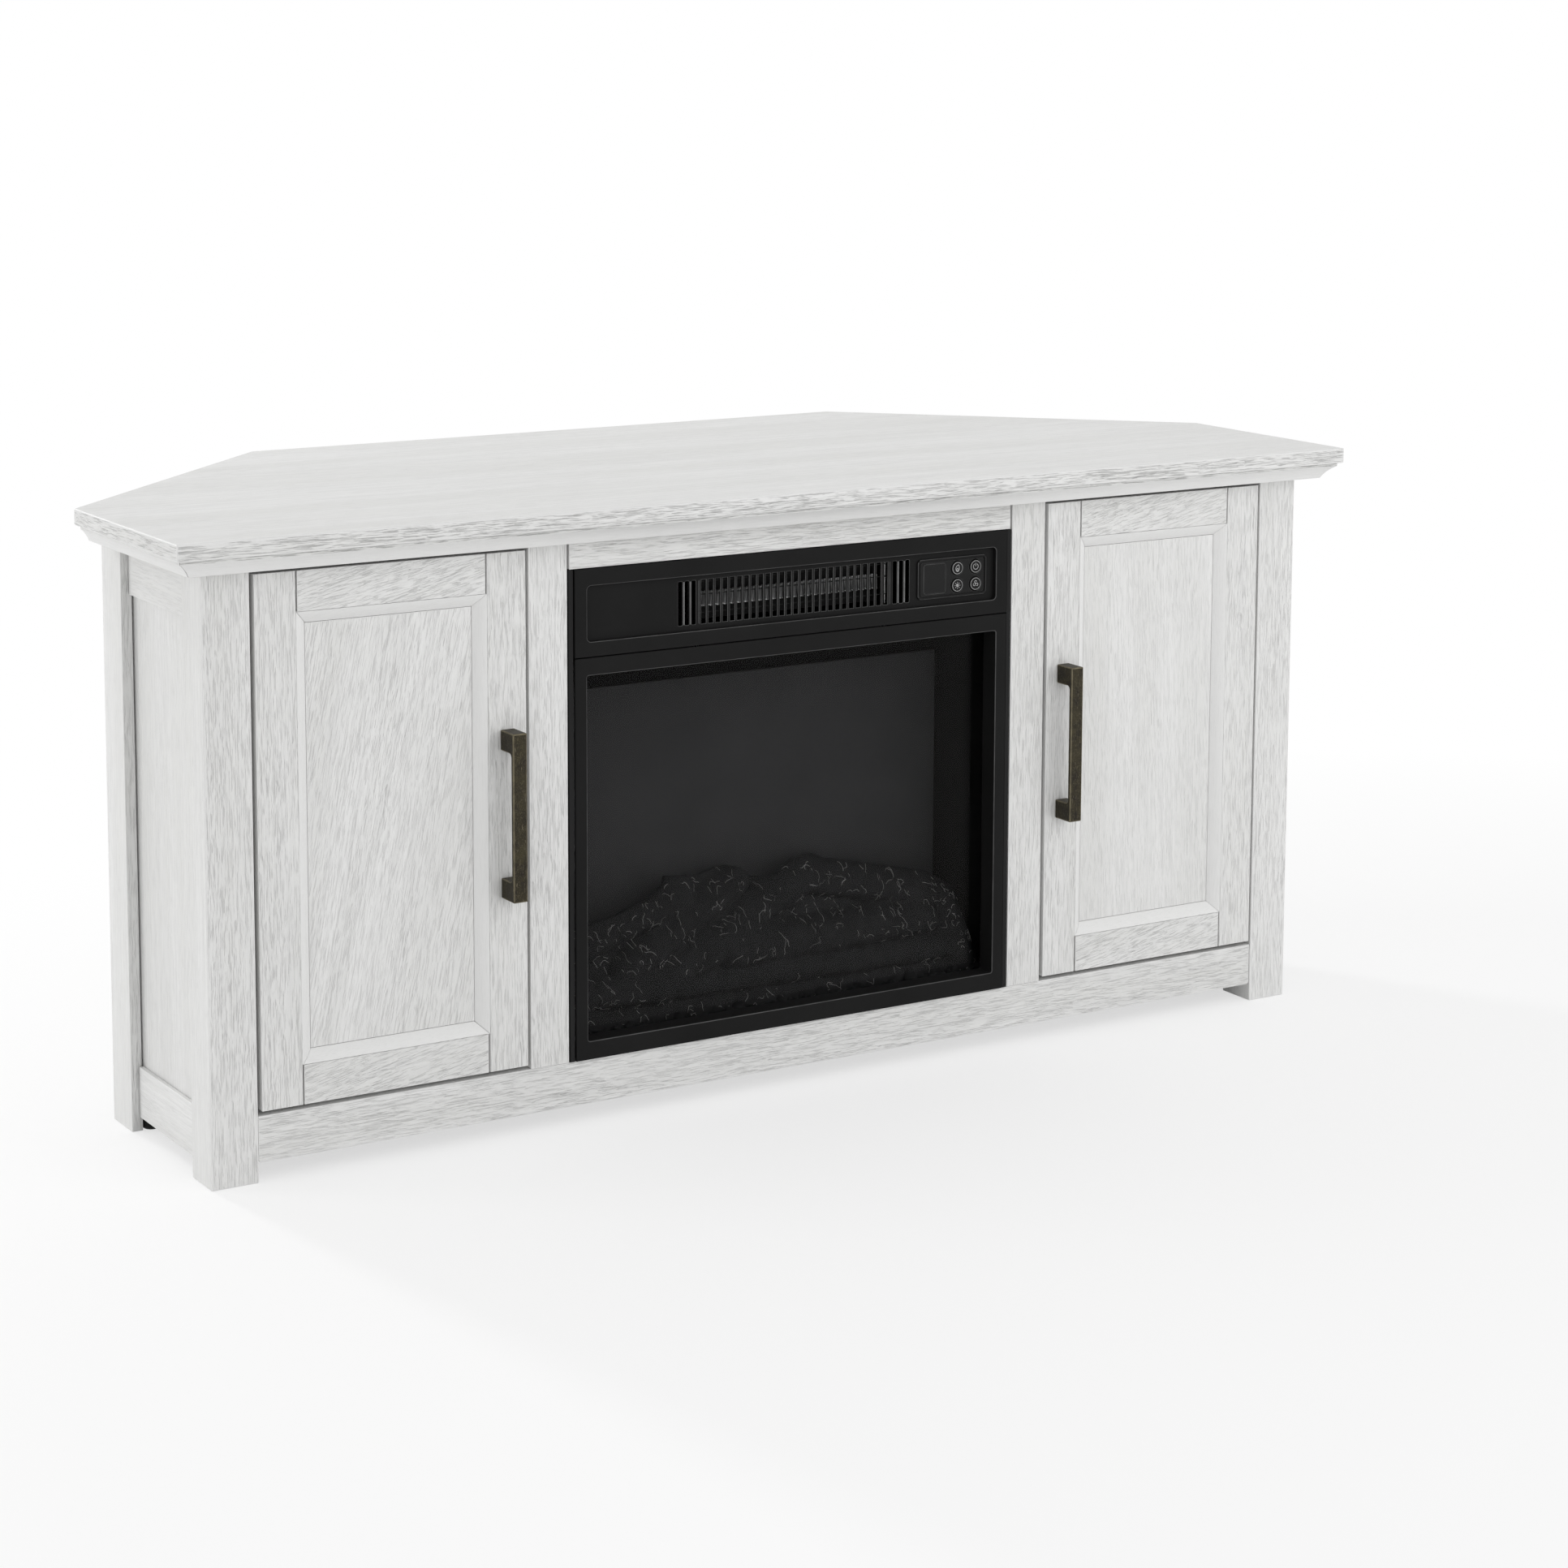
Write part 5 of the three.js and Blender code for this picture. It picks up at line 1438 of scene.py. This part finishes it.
        # Painted highlights: the rim's outer edge and the plateau's edges are painted lighter.
        rim = pierced_plate([outline(0), outline(self.rim_width)], low.y, floor + edge, edge, (0.5, 0))
        inner = outline(self.rim_width + self.groove_width)
        plateau = pierced_plate([inner, *holes], low.y, floor + edge, edge, (0.15, 0.4))
        base = pierced_plate([outline(edge), *holes], floor, high.y, edge / 2, (0, 0))
        self.shop.replace("plastic", "control_panel", joined(rim, plateau, base), Finish.PLASTIC)
        window = rounded(*display, self.display_corner - FIT_GAP, inset=FIT_GAP)
        # Painted highlight: the window's edge is painted lighter.
        face = pierced_plate([window], low.y + self.edge, high.y, self.edge / 3)
        self.shop.seat("display_window", face, Finish.PLASTIC)

    @staticmethod
    def button_middle(node: str) -> Pair:
        """Gives the middle of a button, as x and z."""
        low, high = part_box(node)
        return (low.x + high.x) / 2, (low.z + high.z) / 2

    def make_button(self, node: str, mark: Callable[[float, float], list[list[Pair]]]) -> None:
        """Turns a button and prints its ring and its mark.

        Args:
            node: the button's node.
            mark: gives the lines of its mark about a middle.
        """
        low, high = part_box(node)
        x, z = self.button_middle(node)
        deep = high.y - low.y
        wide = (high.x - low.x) / 2
        cap, edge, flange = self.button_radius, self.edge, self.flange
        groove = cap * 0.82
        profile = [(0, 0), (wide, 0), (wide, flange), (cap, flange), (cap, deep - edge), (cap - edge, deep)]
        profile += [(groove + edge / 2, deep), (groove, deep - edge / 2), (groove - edge / 2, deep)]
        profile += [(groove - 3 * edge, deep - edge / 3), (0, deep - edge / 2)]
        place = Matrix.Translation((x, high.y, z)) @ Matrix.Rotation(QUARTER, 4, "X")
        self.shop.replace("plastic", node, lathe(profile, 40, place), Finish.PLASTIC)
        paths = [self.arc(x, z, self.ring_radius, 0, 1, 40), *mark(x, z)]
        face = low.y + self.line
        lines = joined(*(tube([Vector((a, face, b)) for a, b in path], self.line, 6) for path in paths))
        self.shop.seat(f"{node}_mark", lines, Finish.PLASTIC, self.shop.body_of(node), material=self.print)

    @staticmethod
    def arc(x: float, z: float, radius: float, start: float, end: float, steps: int = 16) -> list[Pair]:
        """Gives points along an arc, its angles in turns from +X."""
        angles = [ROUND * (start + (end - start) * i / steps) for i in range(steps + 1)]
        return [(x + radius * math.cos(a), z + radius * math.sin(a)) for a in angles]

    def flame_mark(self, x: float, z: float) -> list[list[Pair]]:
        """Draws a flame: two bowed sides that meet in a leaning tip, and a smaller tongue inside."""
        size = self.ring_radius * 0.6
        outer = []
        inner = []
        steps = 14
        for i in range(steps + 1):
            turn = math.pi * (1.5 + 2 * i / steps)
            point = max(0.0, math.sin(turn)) ** 2
            across = 0.62 * math.cos(turn) * (1 - point * 0.55) + 0.3 * point
            outer.append((x + size * across, z + size * math.sin(turn)))
            inner.append((x + size * 0.3 * math.cos(turn), z + size * (0.42 * math.sin(turn) - 0.45)))
        return [outer, inner]

    def power_mark(self, x: float, z: float) -> list[list[Pair]]:
        """Draws an open ring with an upright line in its gap."""
        size = self.ring_radius * 0.5
        return [self.arc(x, z, size, 0.33, 1.17), [(x, z + size * 0.1), (x, z + size * 1.25)]]

    def light_mark(self, x: float, z: float) -> list[list[Pair]]:
        """Draws a small lit dot with eight rays."""
        size = self.ring_radius * 0.22
        lines = [self.arc(x, z, size, 0, 1), self.arc(x, z, size / 2, 0, 1, 8)]
        for i in range(8):
            a = QUARTER * i / 2
            lines.append([(x + r * math.cos(a), z + r * math.sin(a)) for r in (size * 1.8, size * 2.7)])
        return lines

    def heat_mark(self, x: float, z: float) -> list[list[Pair]]:
        """Draws three bowed fan blades round a hub."""
        size = self.ring_radius * 0.36
        lines = [self.arc(x, z, size * 0.3, 0, 1, 8)]
        for i in range(3):
            a = ROUND * i / 3 + QUARTER
            middle = (x + size * 0.85 * math.cos(a), z + size * 0.85 * math.sin(a))
            lines.append(self.arc(*middle, size * 0.62, i / 3, i / 3 + 0.75, 12))
        return lines

    def make_heater(self) -> None:
        """Makes the heater: a bright pleated ribbon between two plates, with a mica strip behind it."""
        node = "heating_element"
        low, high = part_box(node)
        plate = self.plate
        half = (high.x - low.x) / 2 - plate
        count = self.pleats * self.pleat_steps
        front = self.recess_floor + self.ribbon_start
        bm = bmesh.new()
        wear_and_sheen = bm.faces.layers.float.new("wear_and_sheen")
        rows = []
        waves = []
        for i in range(count + 1):
            angle = ROUND * self.pleats * (i / count)
            waves.append(self.fold_sharpness * math.cos(angle))
            slant = self.ribbon_slant * math.sin(angle)
            x = -half + 2 * half * (i / count)
            y = front + self.ribbon_wave * (1 + min(max(waves[-1], -1), 1)) / 2
            row = []
            for rise, lean in ((-1, -1), (-0.86, -0.6), (0.86, 0.6), (1, 1)):
                z = self.middle + rise * self.ribbon_height / 2
                row.append(bm.verts.new((x + lean * slant, y - self.ribbon_curl * abs(lean), z)))
            rows.append(row)
        for i, (first, second) in enumerate(zip(rows, rows[1:])):
            folded = (abs(waves[i]) - 1) * (abs(waves[i + 1]) - 1) <= 0
            for k, shine in enumerate(self.fold_shine):
                face = bm.faces.new((first[k], second[k], second[k + 1], first[k + 1]))
                face[wear_and_sheen] = shine if folded else shine / 8
        carrier = hung("ribbon", to_mesh(bm))
        wall = carrier.modifiers.new("wall", "SOLIDIFY")
        wall.thickness = self.ribbon_thickness
        wall.offset = 0
        parts = [baked(carrier)]
        for x in (low.x, high.x - plate):
            parts.append(box_mesh((x, low.y, low.z), (x + plate, high.y, high.z), self.edge / 2))
        steel = RIBBON_STEEL.build()
        self.shop.replace("ribbon", node, joined(*parts), Finish.STEEL, material=steel, weighted=False)
        back = front + 2 * self.ribbon_wave
        reach = self.slot_height / 2
        strip_low = (low.x + plate, back, self.middle - reach)
        strip_high = (high.x - plate, back + plate, self.middle + reach)
        self.shop.seat("heater_backing", box_mesh(strip_low, strip_high, self.edge / 2), Finish.METAL)


@dataclass
class Firebox:
    """The casing, the glass with its frame, the flame screen, the louvres, the blower and the spindle."""

    shop: Workshop
    edge: float = 0.0007
    flange: float = 0.0025
    return_wall: float = 0.0025
    frame_side: float = 0.0118
    frame_bottom: float = 0.0168
    frame_top: float = 0.0157
    glass_corner: float = 0.002
    casing_depth: float = 0.14
    louvres: int = 12
    louvre_pitch: float = 0.016
    louvre_width: float = 0.18
    louvre_section: tuple[Pair, ...] = ((0.0, 0.0), (0.0035, 0.0), (0.003, -0.006), (0.0, -0.009))
    screw_radius: float = 0.004
    screw_rise: float = 0.0018
    blower_half: float = 0.098
    blower_radius: float = 0.024
    blower_root: float = 0.018
    blower_shaft: float = 0.004
    disc_half: float = 0.0008
    blades: int = 20
    blade_half: float = 0.0003
    blade_bow: float = 0.002
    blade_sweep: float = 0.003
    petals: int = 14
    petal_length: float = 0.026
    petal_reach: float = 0.012
    petal_bend: float = 0.0025
    petal_thickness: float = 0.0006
    spindle_boss: float = 0.008
    spindle_shaft: float = 0.003

    def build(self) -> None:
        """Makes all its pieces."""
        casing = self.shop.nodes["fireplace_chassis"]
        coat = CASING_COAT.build()
        for slot in casing.material_slots:
            slot.link = "OBJECT"
            slot.material = coat
        self.make_glass_frame()
        pane = box_mesh(*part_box("front_glass"), self.edge / 2)
        self.shop.replace("clear", "front_glass", pane, Finish.GLASS)
        screen = box_mesh(*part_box("flame_screen"), self.edge)
        self.shop.replace("dark", "flame_screen", screen, Finish.SCREEN)
        self.make_louvres()
        self.make_blower()
        self.make_spindle()

    def make_glass_frame(self) -> None:
        """Makes the frame round the glass and the return that sets the glass back."""
        low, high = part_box("glass_frame")
        outer = rounded(*front_box("glass_frame"), self.edge, 2)
        lower = (low.x + self.frame_side, low.z + self.frame_bottom)
        upper = (high.x - self.frame_side, high.z - self.frame_top)
        opening = rounded(lower, upper, self.glass_corner)
        # Painted highlight: the opening's edge is painted lighter.
        front = pierced_plate([outer, opening], low.y, low.y + self.flange, self.edge, (0, 1))
        around = rounded(lower, upper, self.glass_corner, inset=-self.return_wall)
        back = pierced_plate([around, opening], low.y + self.flange / 2, high.y, self.edge / 2)
        self.shop.replace("black", "glass_frame", joined(front, back), Finish.METAL)

    def make_louvres(self) -> None:
        """Repeats pressed louvres over the casing's back, with a screw at each corner."""
        low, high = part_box("fireplace_chassis")
        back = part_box("left_front_leg")[0].y + self.casing_depth
        bm = extruded(self.louvre_section, self.louvre_width / 2)
        ease(bm, self.edge / 2, 1)
        start = (0, back, (low.z + high.z) / 2 - self.louvres * self.louvre_pitch / 2)
        mesh = self.shop.row(to_mesh(bm), self.louvres, start, (0, 0, self.louvre_pitch), Finish.METAL)
        self.shop.seat("casing_louvres", mesh, Finish.METAL)
        inset = 4 * self.screw_radius
        rows = []
        for x in (low.x + inset, high.x - inset):
            head = self.shop.screw_head(self.screw_radius, self.screw_rise, facing_y())
            rows.append(self.shop.row(head, 2, (x, back, low.z + inset), (0, 0, high.z - low.z - 2 * inset)))
        self.shop.seat("casing_screws", joined(*rows), Finish.STEEL)

    @staticmethod
    def shaft(node: str, radius: float) -> Mesh:
        """Makes the shaft of a turning node, as long as its box."""
        low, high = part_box(node)
        centre = (low + high) / 2
        reach = Vector(((high.x - low.x) / 2, 0, 0))
        return tube([centre - reach, centre + reach], radius, 16)

    def make_blower(self) -> None:
        """Makes the blower wheel: bowed blades between end discs, on a shaft."""
        node = "blower_wheel"
        low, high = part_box(node)
        centre = (low + high) / 2
        half = self.blower_half
        steps = 5
        outer = []
        inner = []
        for i in range(steps + 1):
            share = i / steps
            radius = self.blower_root + (self.blower_radius - self.blower_root) * share
            bow = self.blade_bow * math.sin(math.pi * share) + self.blade_sweep * share
            outer.append((bow + self.blade_half, radius))
            inner.append((bow - self.blade_half, radius))
        blade = to_mesh(extruded(outer + inner[::-1], half))
        turn = (ROUND / self.blades, 0, 0)
        parts = [self.shop.row(blade, self.blades, tuple(centre), (0, 0, 0), turn=turn)]
        rim, thick = self.blower_radius, self.disc_half
        disc = [(0, -thick), (rim, -thick), (rim, thick), (0, thick)]
        for x in (-half, -half / 3, half / 3, half):
            place = Matrix.Translation(centre + Vector((x, 0, 0))) @ Matrix.Rotation(QUARTER, 4, "Y")
            parts.append(lathe(disc, 40, place))
        parts.append(self.shaft(node, self.blower_shaft))
        self.shop.replace("steel", node, joined(*parts), Finish.STEEL)

    def make_spindle(self) -> None:
        """Makes the flame spindle: bent petals on a shaft, each turned a quarter from the one before."""
        node = "flame_spindle"
        low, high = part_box(node)
        centre = (low + high) / 2
        bm = bmesh.new()
        columns = 6
        sheet = []
        for i in range(columns + 1):
            share = i / columns
            x = (share - 0.5) * self.petal_length
            wide = self.petal_reach * (0.72 + 0.28 * math.sin(math.pi * share))
            bend = self.petal_bend * math.sin(ROUND * share)
            sheet.append([bm.verts.new((x, bend * k, wide * k)) for k in (-1, -0.5, 0, 0.5, 1)])
        skin(bm, list(zip(*sheet)), closed=False)
        bmesh.ops.solidify(bm, geom=bm.faces[:], thickness=self.petal_thickness)
        run = 2 * ((high.x - low.x) / 2 - self.spindle_boss - self.petal_length)
        start = (centre.x - run / 2, centre.y, centre.z)
        step = (run / (self.petals - 1), 0, 0)
        petals = self.shop.row(to_mesh(outward(bm)), self.petals, start, step, turn=(QUARTER, 0, 0))
        self.shop.replace("steel", node, joined(petals, self.shaft(node, self.spindle_shaft)), Finish.STEEL)


@dataclass
class Fire:
    """The moulded relief of logs behind the glass, on a bed of embers."""

    shop: Workshop
    bed_height: float = 0.016
    columns: int = 264
    rows: int = 60
    wall: float = 0.003
    foot_depth: float = 0.012
    crest_depth: float = 0.05
    roundness: float = 0.85
    coals: int = 130
    coal_radius: float = 0.0075
    strokes: int = 400
    stroke_step: float = 0.0013
    stroke_radius: float = 0.0002
    stroke_rise: float = 0.0002
    # The pile's upper outline: x from the middle and the height above the floor.
    crest: tuple[Pair, ...] = (
        (-0.240, 0.151), (-0.193, 0.160), (-0.159, 0.166), (-0.123, 0.177), (-0.107, 0.187),
        (-0.100, 0.196), (-0.077, 0.194), (-0.072, 0.189), (-0.061, 0.189), (-0.030, 0.198),
        (-0.013, 0.189), (-0.008, 0.180), (0.015, 0.180), (0.034, 0.193), (0.059, 0.197),
        (0.076, 0.189), (0.104, 0.183), (0.162, 0.169), (0.191, 0.161), (0.211, 0.148),
        (0.220, 0.134), (0.240, 0.090),
    )
    # Each log's two ends, as x and height, and its radius; the last one's bark is worn smooth.
    logs: tuple[tuple[Pair, Pair, float], ...] = (
        ((-0.240, 0.132), (-0.088, 0.180), 0.020),
        ((-0.152, 0.116), (-0.022, 0.184), 0.015),
        ((-0.122, 0.100), (0.046, 0.180), 0.018),
        ((0.040, 0.180), (0.205, 0.143), 0.017),
        ((-0.040, 0.122), (0.175, 0.126), 0.018),
        ((-0.240, 0.106), (-0.130, 0.098), 0.014),
        ((0.208, 0.142), (0.214, 0.088), 0.018),
        ((-0.240, 0.072), (0.240, 0.072), 0.010),
        ((-0.125, 0.098), (0.205, 0.094), 0.012),
    )

    def build(self) -> None:
        """Makes the logs and the embers as one moulding that stands for the node."""
        node = "log_and_ember_bed"
        self.low, self.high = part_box(node)
        mesh = joined(self.make_relief(), self.make_bed(), self.make_coals(), *self.make_strokes())
        for vertex in mesh.vertices:
            for axis in range(3):
                vertex.co[axis] = min(max(vertex.co[axis], self.low[axis]), self.high[axis])
        self.shop.seat("moulded_logs_and_embers", mesh, Finish.EMBERS, stands_for=[node], weighted=False)

    def top_at(self, x: float) -> float:
        """Gives the height of the pile's upper outline."""
        for (start, low), (end, high) in zip(self.crest, self.crest[1:]):
            if x <= end:
                share = max(0.0, (x - start) / (end - start))
                return low + (high - low) * share + 0.0008 * noise.noise(Vector((x * 260, 0, 7)))
        return self.crest[-1][1]

    @staticmethod
    def off_log(log: tuple[Pair, Pair, float], x: float, z: float) -> float:
        """Gives how far a point lies from a log's middle line, seen from the front."""
        start, end = Vector(log[0]), Vector(log[1])
        run = end - start
        share = min(max((Vector((x, z)) - start).dot(run) / run.length_squared, 0.0), 1.0)
        return (Vector((x, z)) - start - run * share).length

    def depth_at(self, x: float, z: float) -> float:
        """Gives how far back the relief's face lies at a point.

        Args:
            x: the point's place across.
            z: its height.

        Returns:
            Its y.
        """
        share = (z - self.low.z) / (self.top_at(x) - self.low.z)
        base = self.low.y + self.foot_depth + (self.crest_depth - self.foot_depth) * max(share, 0.0) ** 1.4
        bulge = 0.0
        for log in self.logs:
            off = self.off_log(log, x, z)
            if off < log[2]:
                bulge = max(bulge, math.sqrt(log[2] ** 2 - off**2))
        spot = Vector((x, z, 0))
        rough = 0.0022 * noise.noise(spot * 55) + 0.0011 * noise.noise(spot * 190)
        return base - bulge * self.roundness - rough

    def make_relief(self) -> Mesh:
        """Moulds the logs as a shell whose face follows them up to the pile's outline."""
        bm = bmesh.new()
        sheets: list[list[list[Vert]]] = [[], []]
        for i in range(self.columns + 1):
            x = self.low.x + (self.high.x - self.low.x) * i / self.columns
            top = self.top_at(x)
            heights = [self.low.z + (top - self.low.z) * k / self.rows for k in range(self.rows + 1)]
            places = [(x, self.depth_at(x, z), z) for z in heights]
            sheets[0].append([bm.verts.new(p) for p in places])
            sheets[1].append([bm.verts.new((p[0], p[1] + self.wall, p[2])) for p in places])
        for sheet in sheets:
            skin(bm, list(zip(*sheet)), closed=False)
        skin(bm, [self.rim(sheet) for sheet in sheets])
        return to_mesh(outward(bm))

    @staticmethod
    def rim(grid: Sequence[Sequence[Vert]]) -> list[Vert]:
        """Gives the corners round the edge of a grid, in order."""
        last = [row[-1] for row in grid[1:]]
        first = [row[0] for row in grid[-2:0:-1]]
        return [*grid[0], *last, *grid[-1][-2::-1], *first]

    def make_strokes(self) -> list[Mesh]:
        """Lays thin raised curls over the bark and the embers, which are painted pale as painted highlights.
        """
        draw = random.Random("strokes")
        smooth = self.logs[-1]
        meshes: list[Mesh] = []
        while len(meshes) < self.strokes:
            x = draw.uniform(self.low.x + 0.005, self.high.x - 0.005)
            z = draw.uniform(self.low.z + 0.004, self.top_at(x) - 0.003)
            bare = noise.noise(Vector((x * 50, z * 50, 5))) < -0.12 or self.off_log(smooth, x, z) < smooth[2]
            if bare and x < self.high.x - 0.03:
                continue
            heading = draw.gauss(QUARTER, 0.55)
            curl = draw.choice((-0.5, 0.5)) if x > self.high.x - 0.035 else 0.0
            points = []
            for _ in range(draw.randint(3, 10)):
                z = min(max(z, self.low.z + 0.001), self.top_at(x) - 0.001)
                points.append(Vector((x, self.depth_at(x, z) - self.stroke_rise, z)))
                heading += draw.gauss(curl, 0.5)
                x += self.stroke_step * math.cos(heading)
                z += self.stroke_step * math.sin(heading)
            meshes.append(tube(points, self.stroke_radius, 4, painted_sheen=True))
        return meshes

    def make_bed(self) -> Mesh:
        """Makes the bed: a tray whose top is raked into low mounds."""
        columns = 150
        lines = 28
        size = self.high - self.low
        bm = bmesh.new()
        top = []
        for j in range(lines + 1):
            row = []
            for i in range(columns + 1):
                x = self.low.x + size.x * i / columns
                y = self.low.y + size.y * j / lines
                broad = 0.004 * noise.noise(Vector((x, y, 0)) * 42)
                mound = broad + 0.002 * noise.noise(Vector((x, y, 3)) * 140)
                row.append(bm.verts.new((x, y, self.low.z + self.bed_height - 0.006 + mound)))
            top.append(row)
        skin(bm, top, closed=False)
        rim = self.rim(top)
        foot = [bm.verts.new((v.co.x, v.co.y, self.low.z)) for v in rim]
        skin(bm, [foot, rim])
        bm.faces.new(foot[::-1])
        return to_mesh(outward(bm))

    def make_coals(self) -> Mesh:
        """Strews coals over the front of the bed."""
        draw = random.Random("coals")
        bm = bmesh.new()
        for _ in range(self.coals):
            x = draw.uniform(self.low.x + 0.006, self.high.x - 0.006)
            y = draw.uniform(self.low.y + 0.004, self.low.y + self.foot_depth)
            radius = self.coal_radius * draw.uniform(0.55, 1.15)
            made = bmesh.ops.create_icosphere(bm, subdivisions=2, radius=radius)
            seed = Vector([draw.uniform(0, 50) for _ in range(3)])
            squash = Vector([draw.uniform(0.75, 1.3) for _ in range(3)])
            centre = Vector((x, y, self.low.z + self.bed_height - 0.012 + draw.uniform(-0.003, 0.005)))
            for vertex in made["verts"]:
                rough = 1 + 0.45 * noise.noise(vertex.co / radius * 1.3 + seed)
                vertex.co = centre + vertex.co * squash * rough
        return to_mesh(bm)


@dataclass
class Studio:
    """The floor, the lamps, the pale surroundings and the camera."""

    floor_reach: float = 9.0
    floor_drop: float = 0.0002
    floor_colour: str = "f4f4f4"
    floor_glow_share: float = 0.62
    shadow_middle: Triple = (0.25, -1.0, 0.0)
    shadow_near: float = 1.15
    shadow_far: float = 2.0
    sky: float = 0.72
    # Each lamp's place, its power in watts and how wide it is.
    lamps: tuple[tuple[str, Triple, float, float], ...] = (
        ("back_lamp", (-1.05, 3.2, 1.9), 44.0, 0.5),
        ("front_lamp", (0.95, -2.4, 1.2), 21.5, 3.0),
        ("left_lamp", (-3.1, 1.5, 1.0), 19.0, 1.2),
    )
    aim: Triple = (0.0, 0.0, 0.3)
    camera_place: Triple = (-1.6664, -2.9174, 1.0050)
    camera_yaw: float = -0.54941
    camera_pitch: float = 0.13570
    camera_roll: float = 0.00370
    lens: float = 81.440
    sensor: float = 36.0
    shift: float = -0.2

    def build(self) -> None:
        """Sets everything up."""
        self.make_camera()
        self.make_floor()
        self.make_sky()
        for name, place, power, size in self.lamps:
            self.make_lamp(name, place, power, size)
        bpy.context.scene.view_settings.view_transform = "Standard"

    def make_camera(self) -> None:
        """Places the camera where the photograph was taken from."""
        data = bpy.data.cameras.new("camera")
        data.lens = self.lens
        data.sensor_width = self.sensor
        data.shift_y = self.shift
        camera = hung("camera", data)
        turn, dip = self.camera_yaw, self.camera_pitch
        right = Vector((math.cos(turn), math.sin(turn), 0))
        ahead = Vector((-math.sin(turn) * math.cos(dip), math.cos(turn) * math.cos(dip), -math.sin(dip)))
        level = Matrix((right, right.cross(ahead), -ahead)).transposed().to_4x4()
        roll = Matrix.Rotation(self.camera_roll, 4, "Z")
        camera.matrix_world = Matrix.Translation(self.camera_place) @ level @ roll
        bpy.context.scene.camera = camera

    def make_floor(self) -> None:
        """Lays a pale floor that looks white in the light and keeps the stand's shadow."""
        reach = self.floor_reach
        corners = [(-reach, -reach), (reach, -reach), (reach, reach), (-reach, reach)]
        mesh = bpy.data.meshes.new("floor")
        mesh.from_pydata([(x, y, -self.floor_drop) for x, y in corners], [], [(0, 1, 2, 3)])
        floor = hung("floor", mesh)
        floor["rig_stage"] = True
        graph = new_graph("pale_floor")
        graph.dress(Base_Color=tone(self.floor_colour), Roughness=0.9, Specular_IOR_Level=0.0)
        glow = graph.add("ShaderNodeEmission", {"Color": (1, 1, 1, 1), "Strength": 1.0})
        gap = {0: graph.place(), 1: self.shadow_middle}
        distance = graph.add("ShaderNodeVectorMath", gap, operation="DISTANCE").outputs["Value"]
        away = graph.level(distance, self.shadow_near, self.shadow_far, self.floor_glow_share, 1.0)
        mesh.materials.append(graph.show(graph.math("MULTIPLY", graph.seen_rays(), away), glow))

    def make_sky(self) -> None:
        """Surrounds the stand with soft light, white where it is seen."""
        world = bpy.data.worlds.new("surroundings")
        bpy.context.scene.world = world
        graph = Graph(world)
        graph.dress(Color=(1, 1, 1, 1), Strength=self.sky)
        white = graph.add("ShaderNodeBackground", {"Color": (1, 1, 1, 1), "Strength": 1.0})
        graph.show(graph.seen_rays(), white)

    def make_lamp(self, name: str, place: Triple, power: float, size: float) -> None:
        """Hangs a round soft lamp that points at the stand.

        Args:
            name: the lamp's name.
            place: where it hangs.
            power: its power in watts.
            size: how wide it is.
        """
        lamp = bpy.data.lights.new(name, "AREA")
        lamp.shape = "DISK"
        lamp.size = size
        lamp.energy = power
        carrier = hung(name, lamp)
        carrier.location = place
        carrier.rotation_mode = "QUATERNION"
        carrier.rotation_quaternion = (Vector(place) - Vector(self.aim)).to_track_quat("Z", "Y")


def corners() -> list[list[float]]:
    """Gives the lowest and highest corner of what shows."""
    return [list(corner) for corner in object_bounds()]


def main() -> None:
    """Builds the stand round its frame."""
    logging.basicConfig(level=logging.INFO, format="%(name)s %(message)s")
    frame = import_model()
    Studio().build()
    shop = Workshop(frame)
    Carcase(shop).build()
    for side in SIDES:
        Door(shop, side).build()
    for part in (Header, Firebox, Fire):
        part(shop).build()


if __name__ == "__main__":
    main()
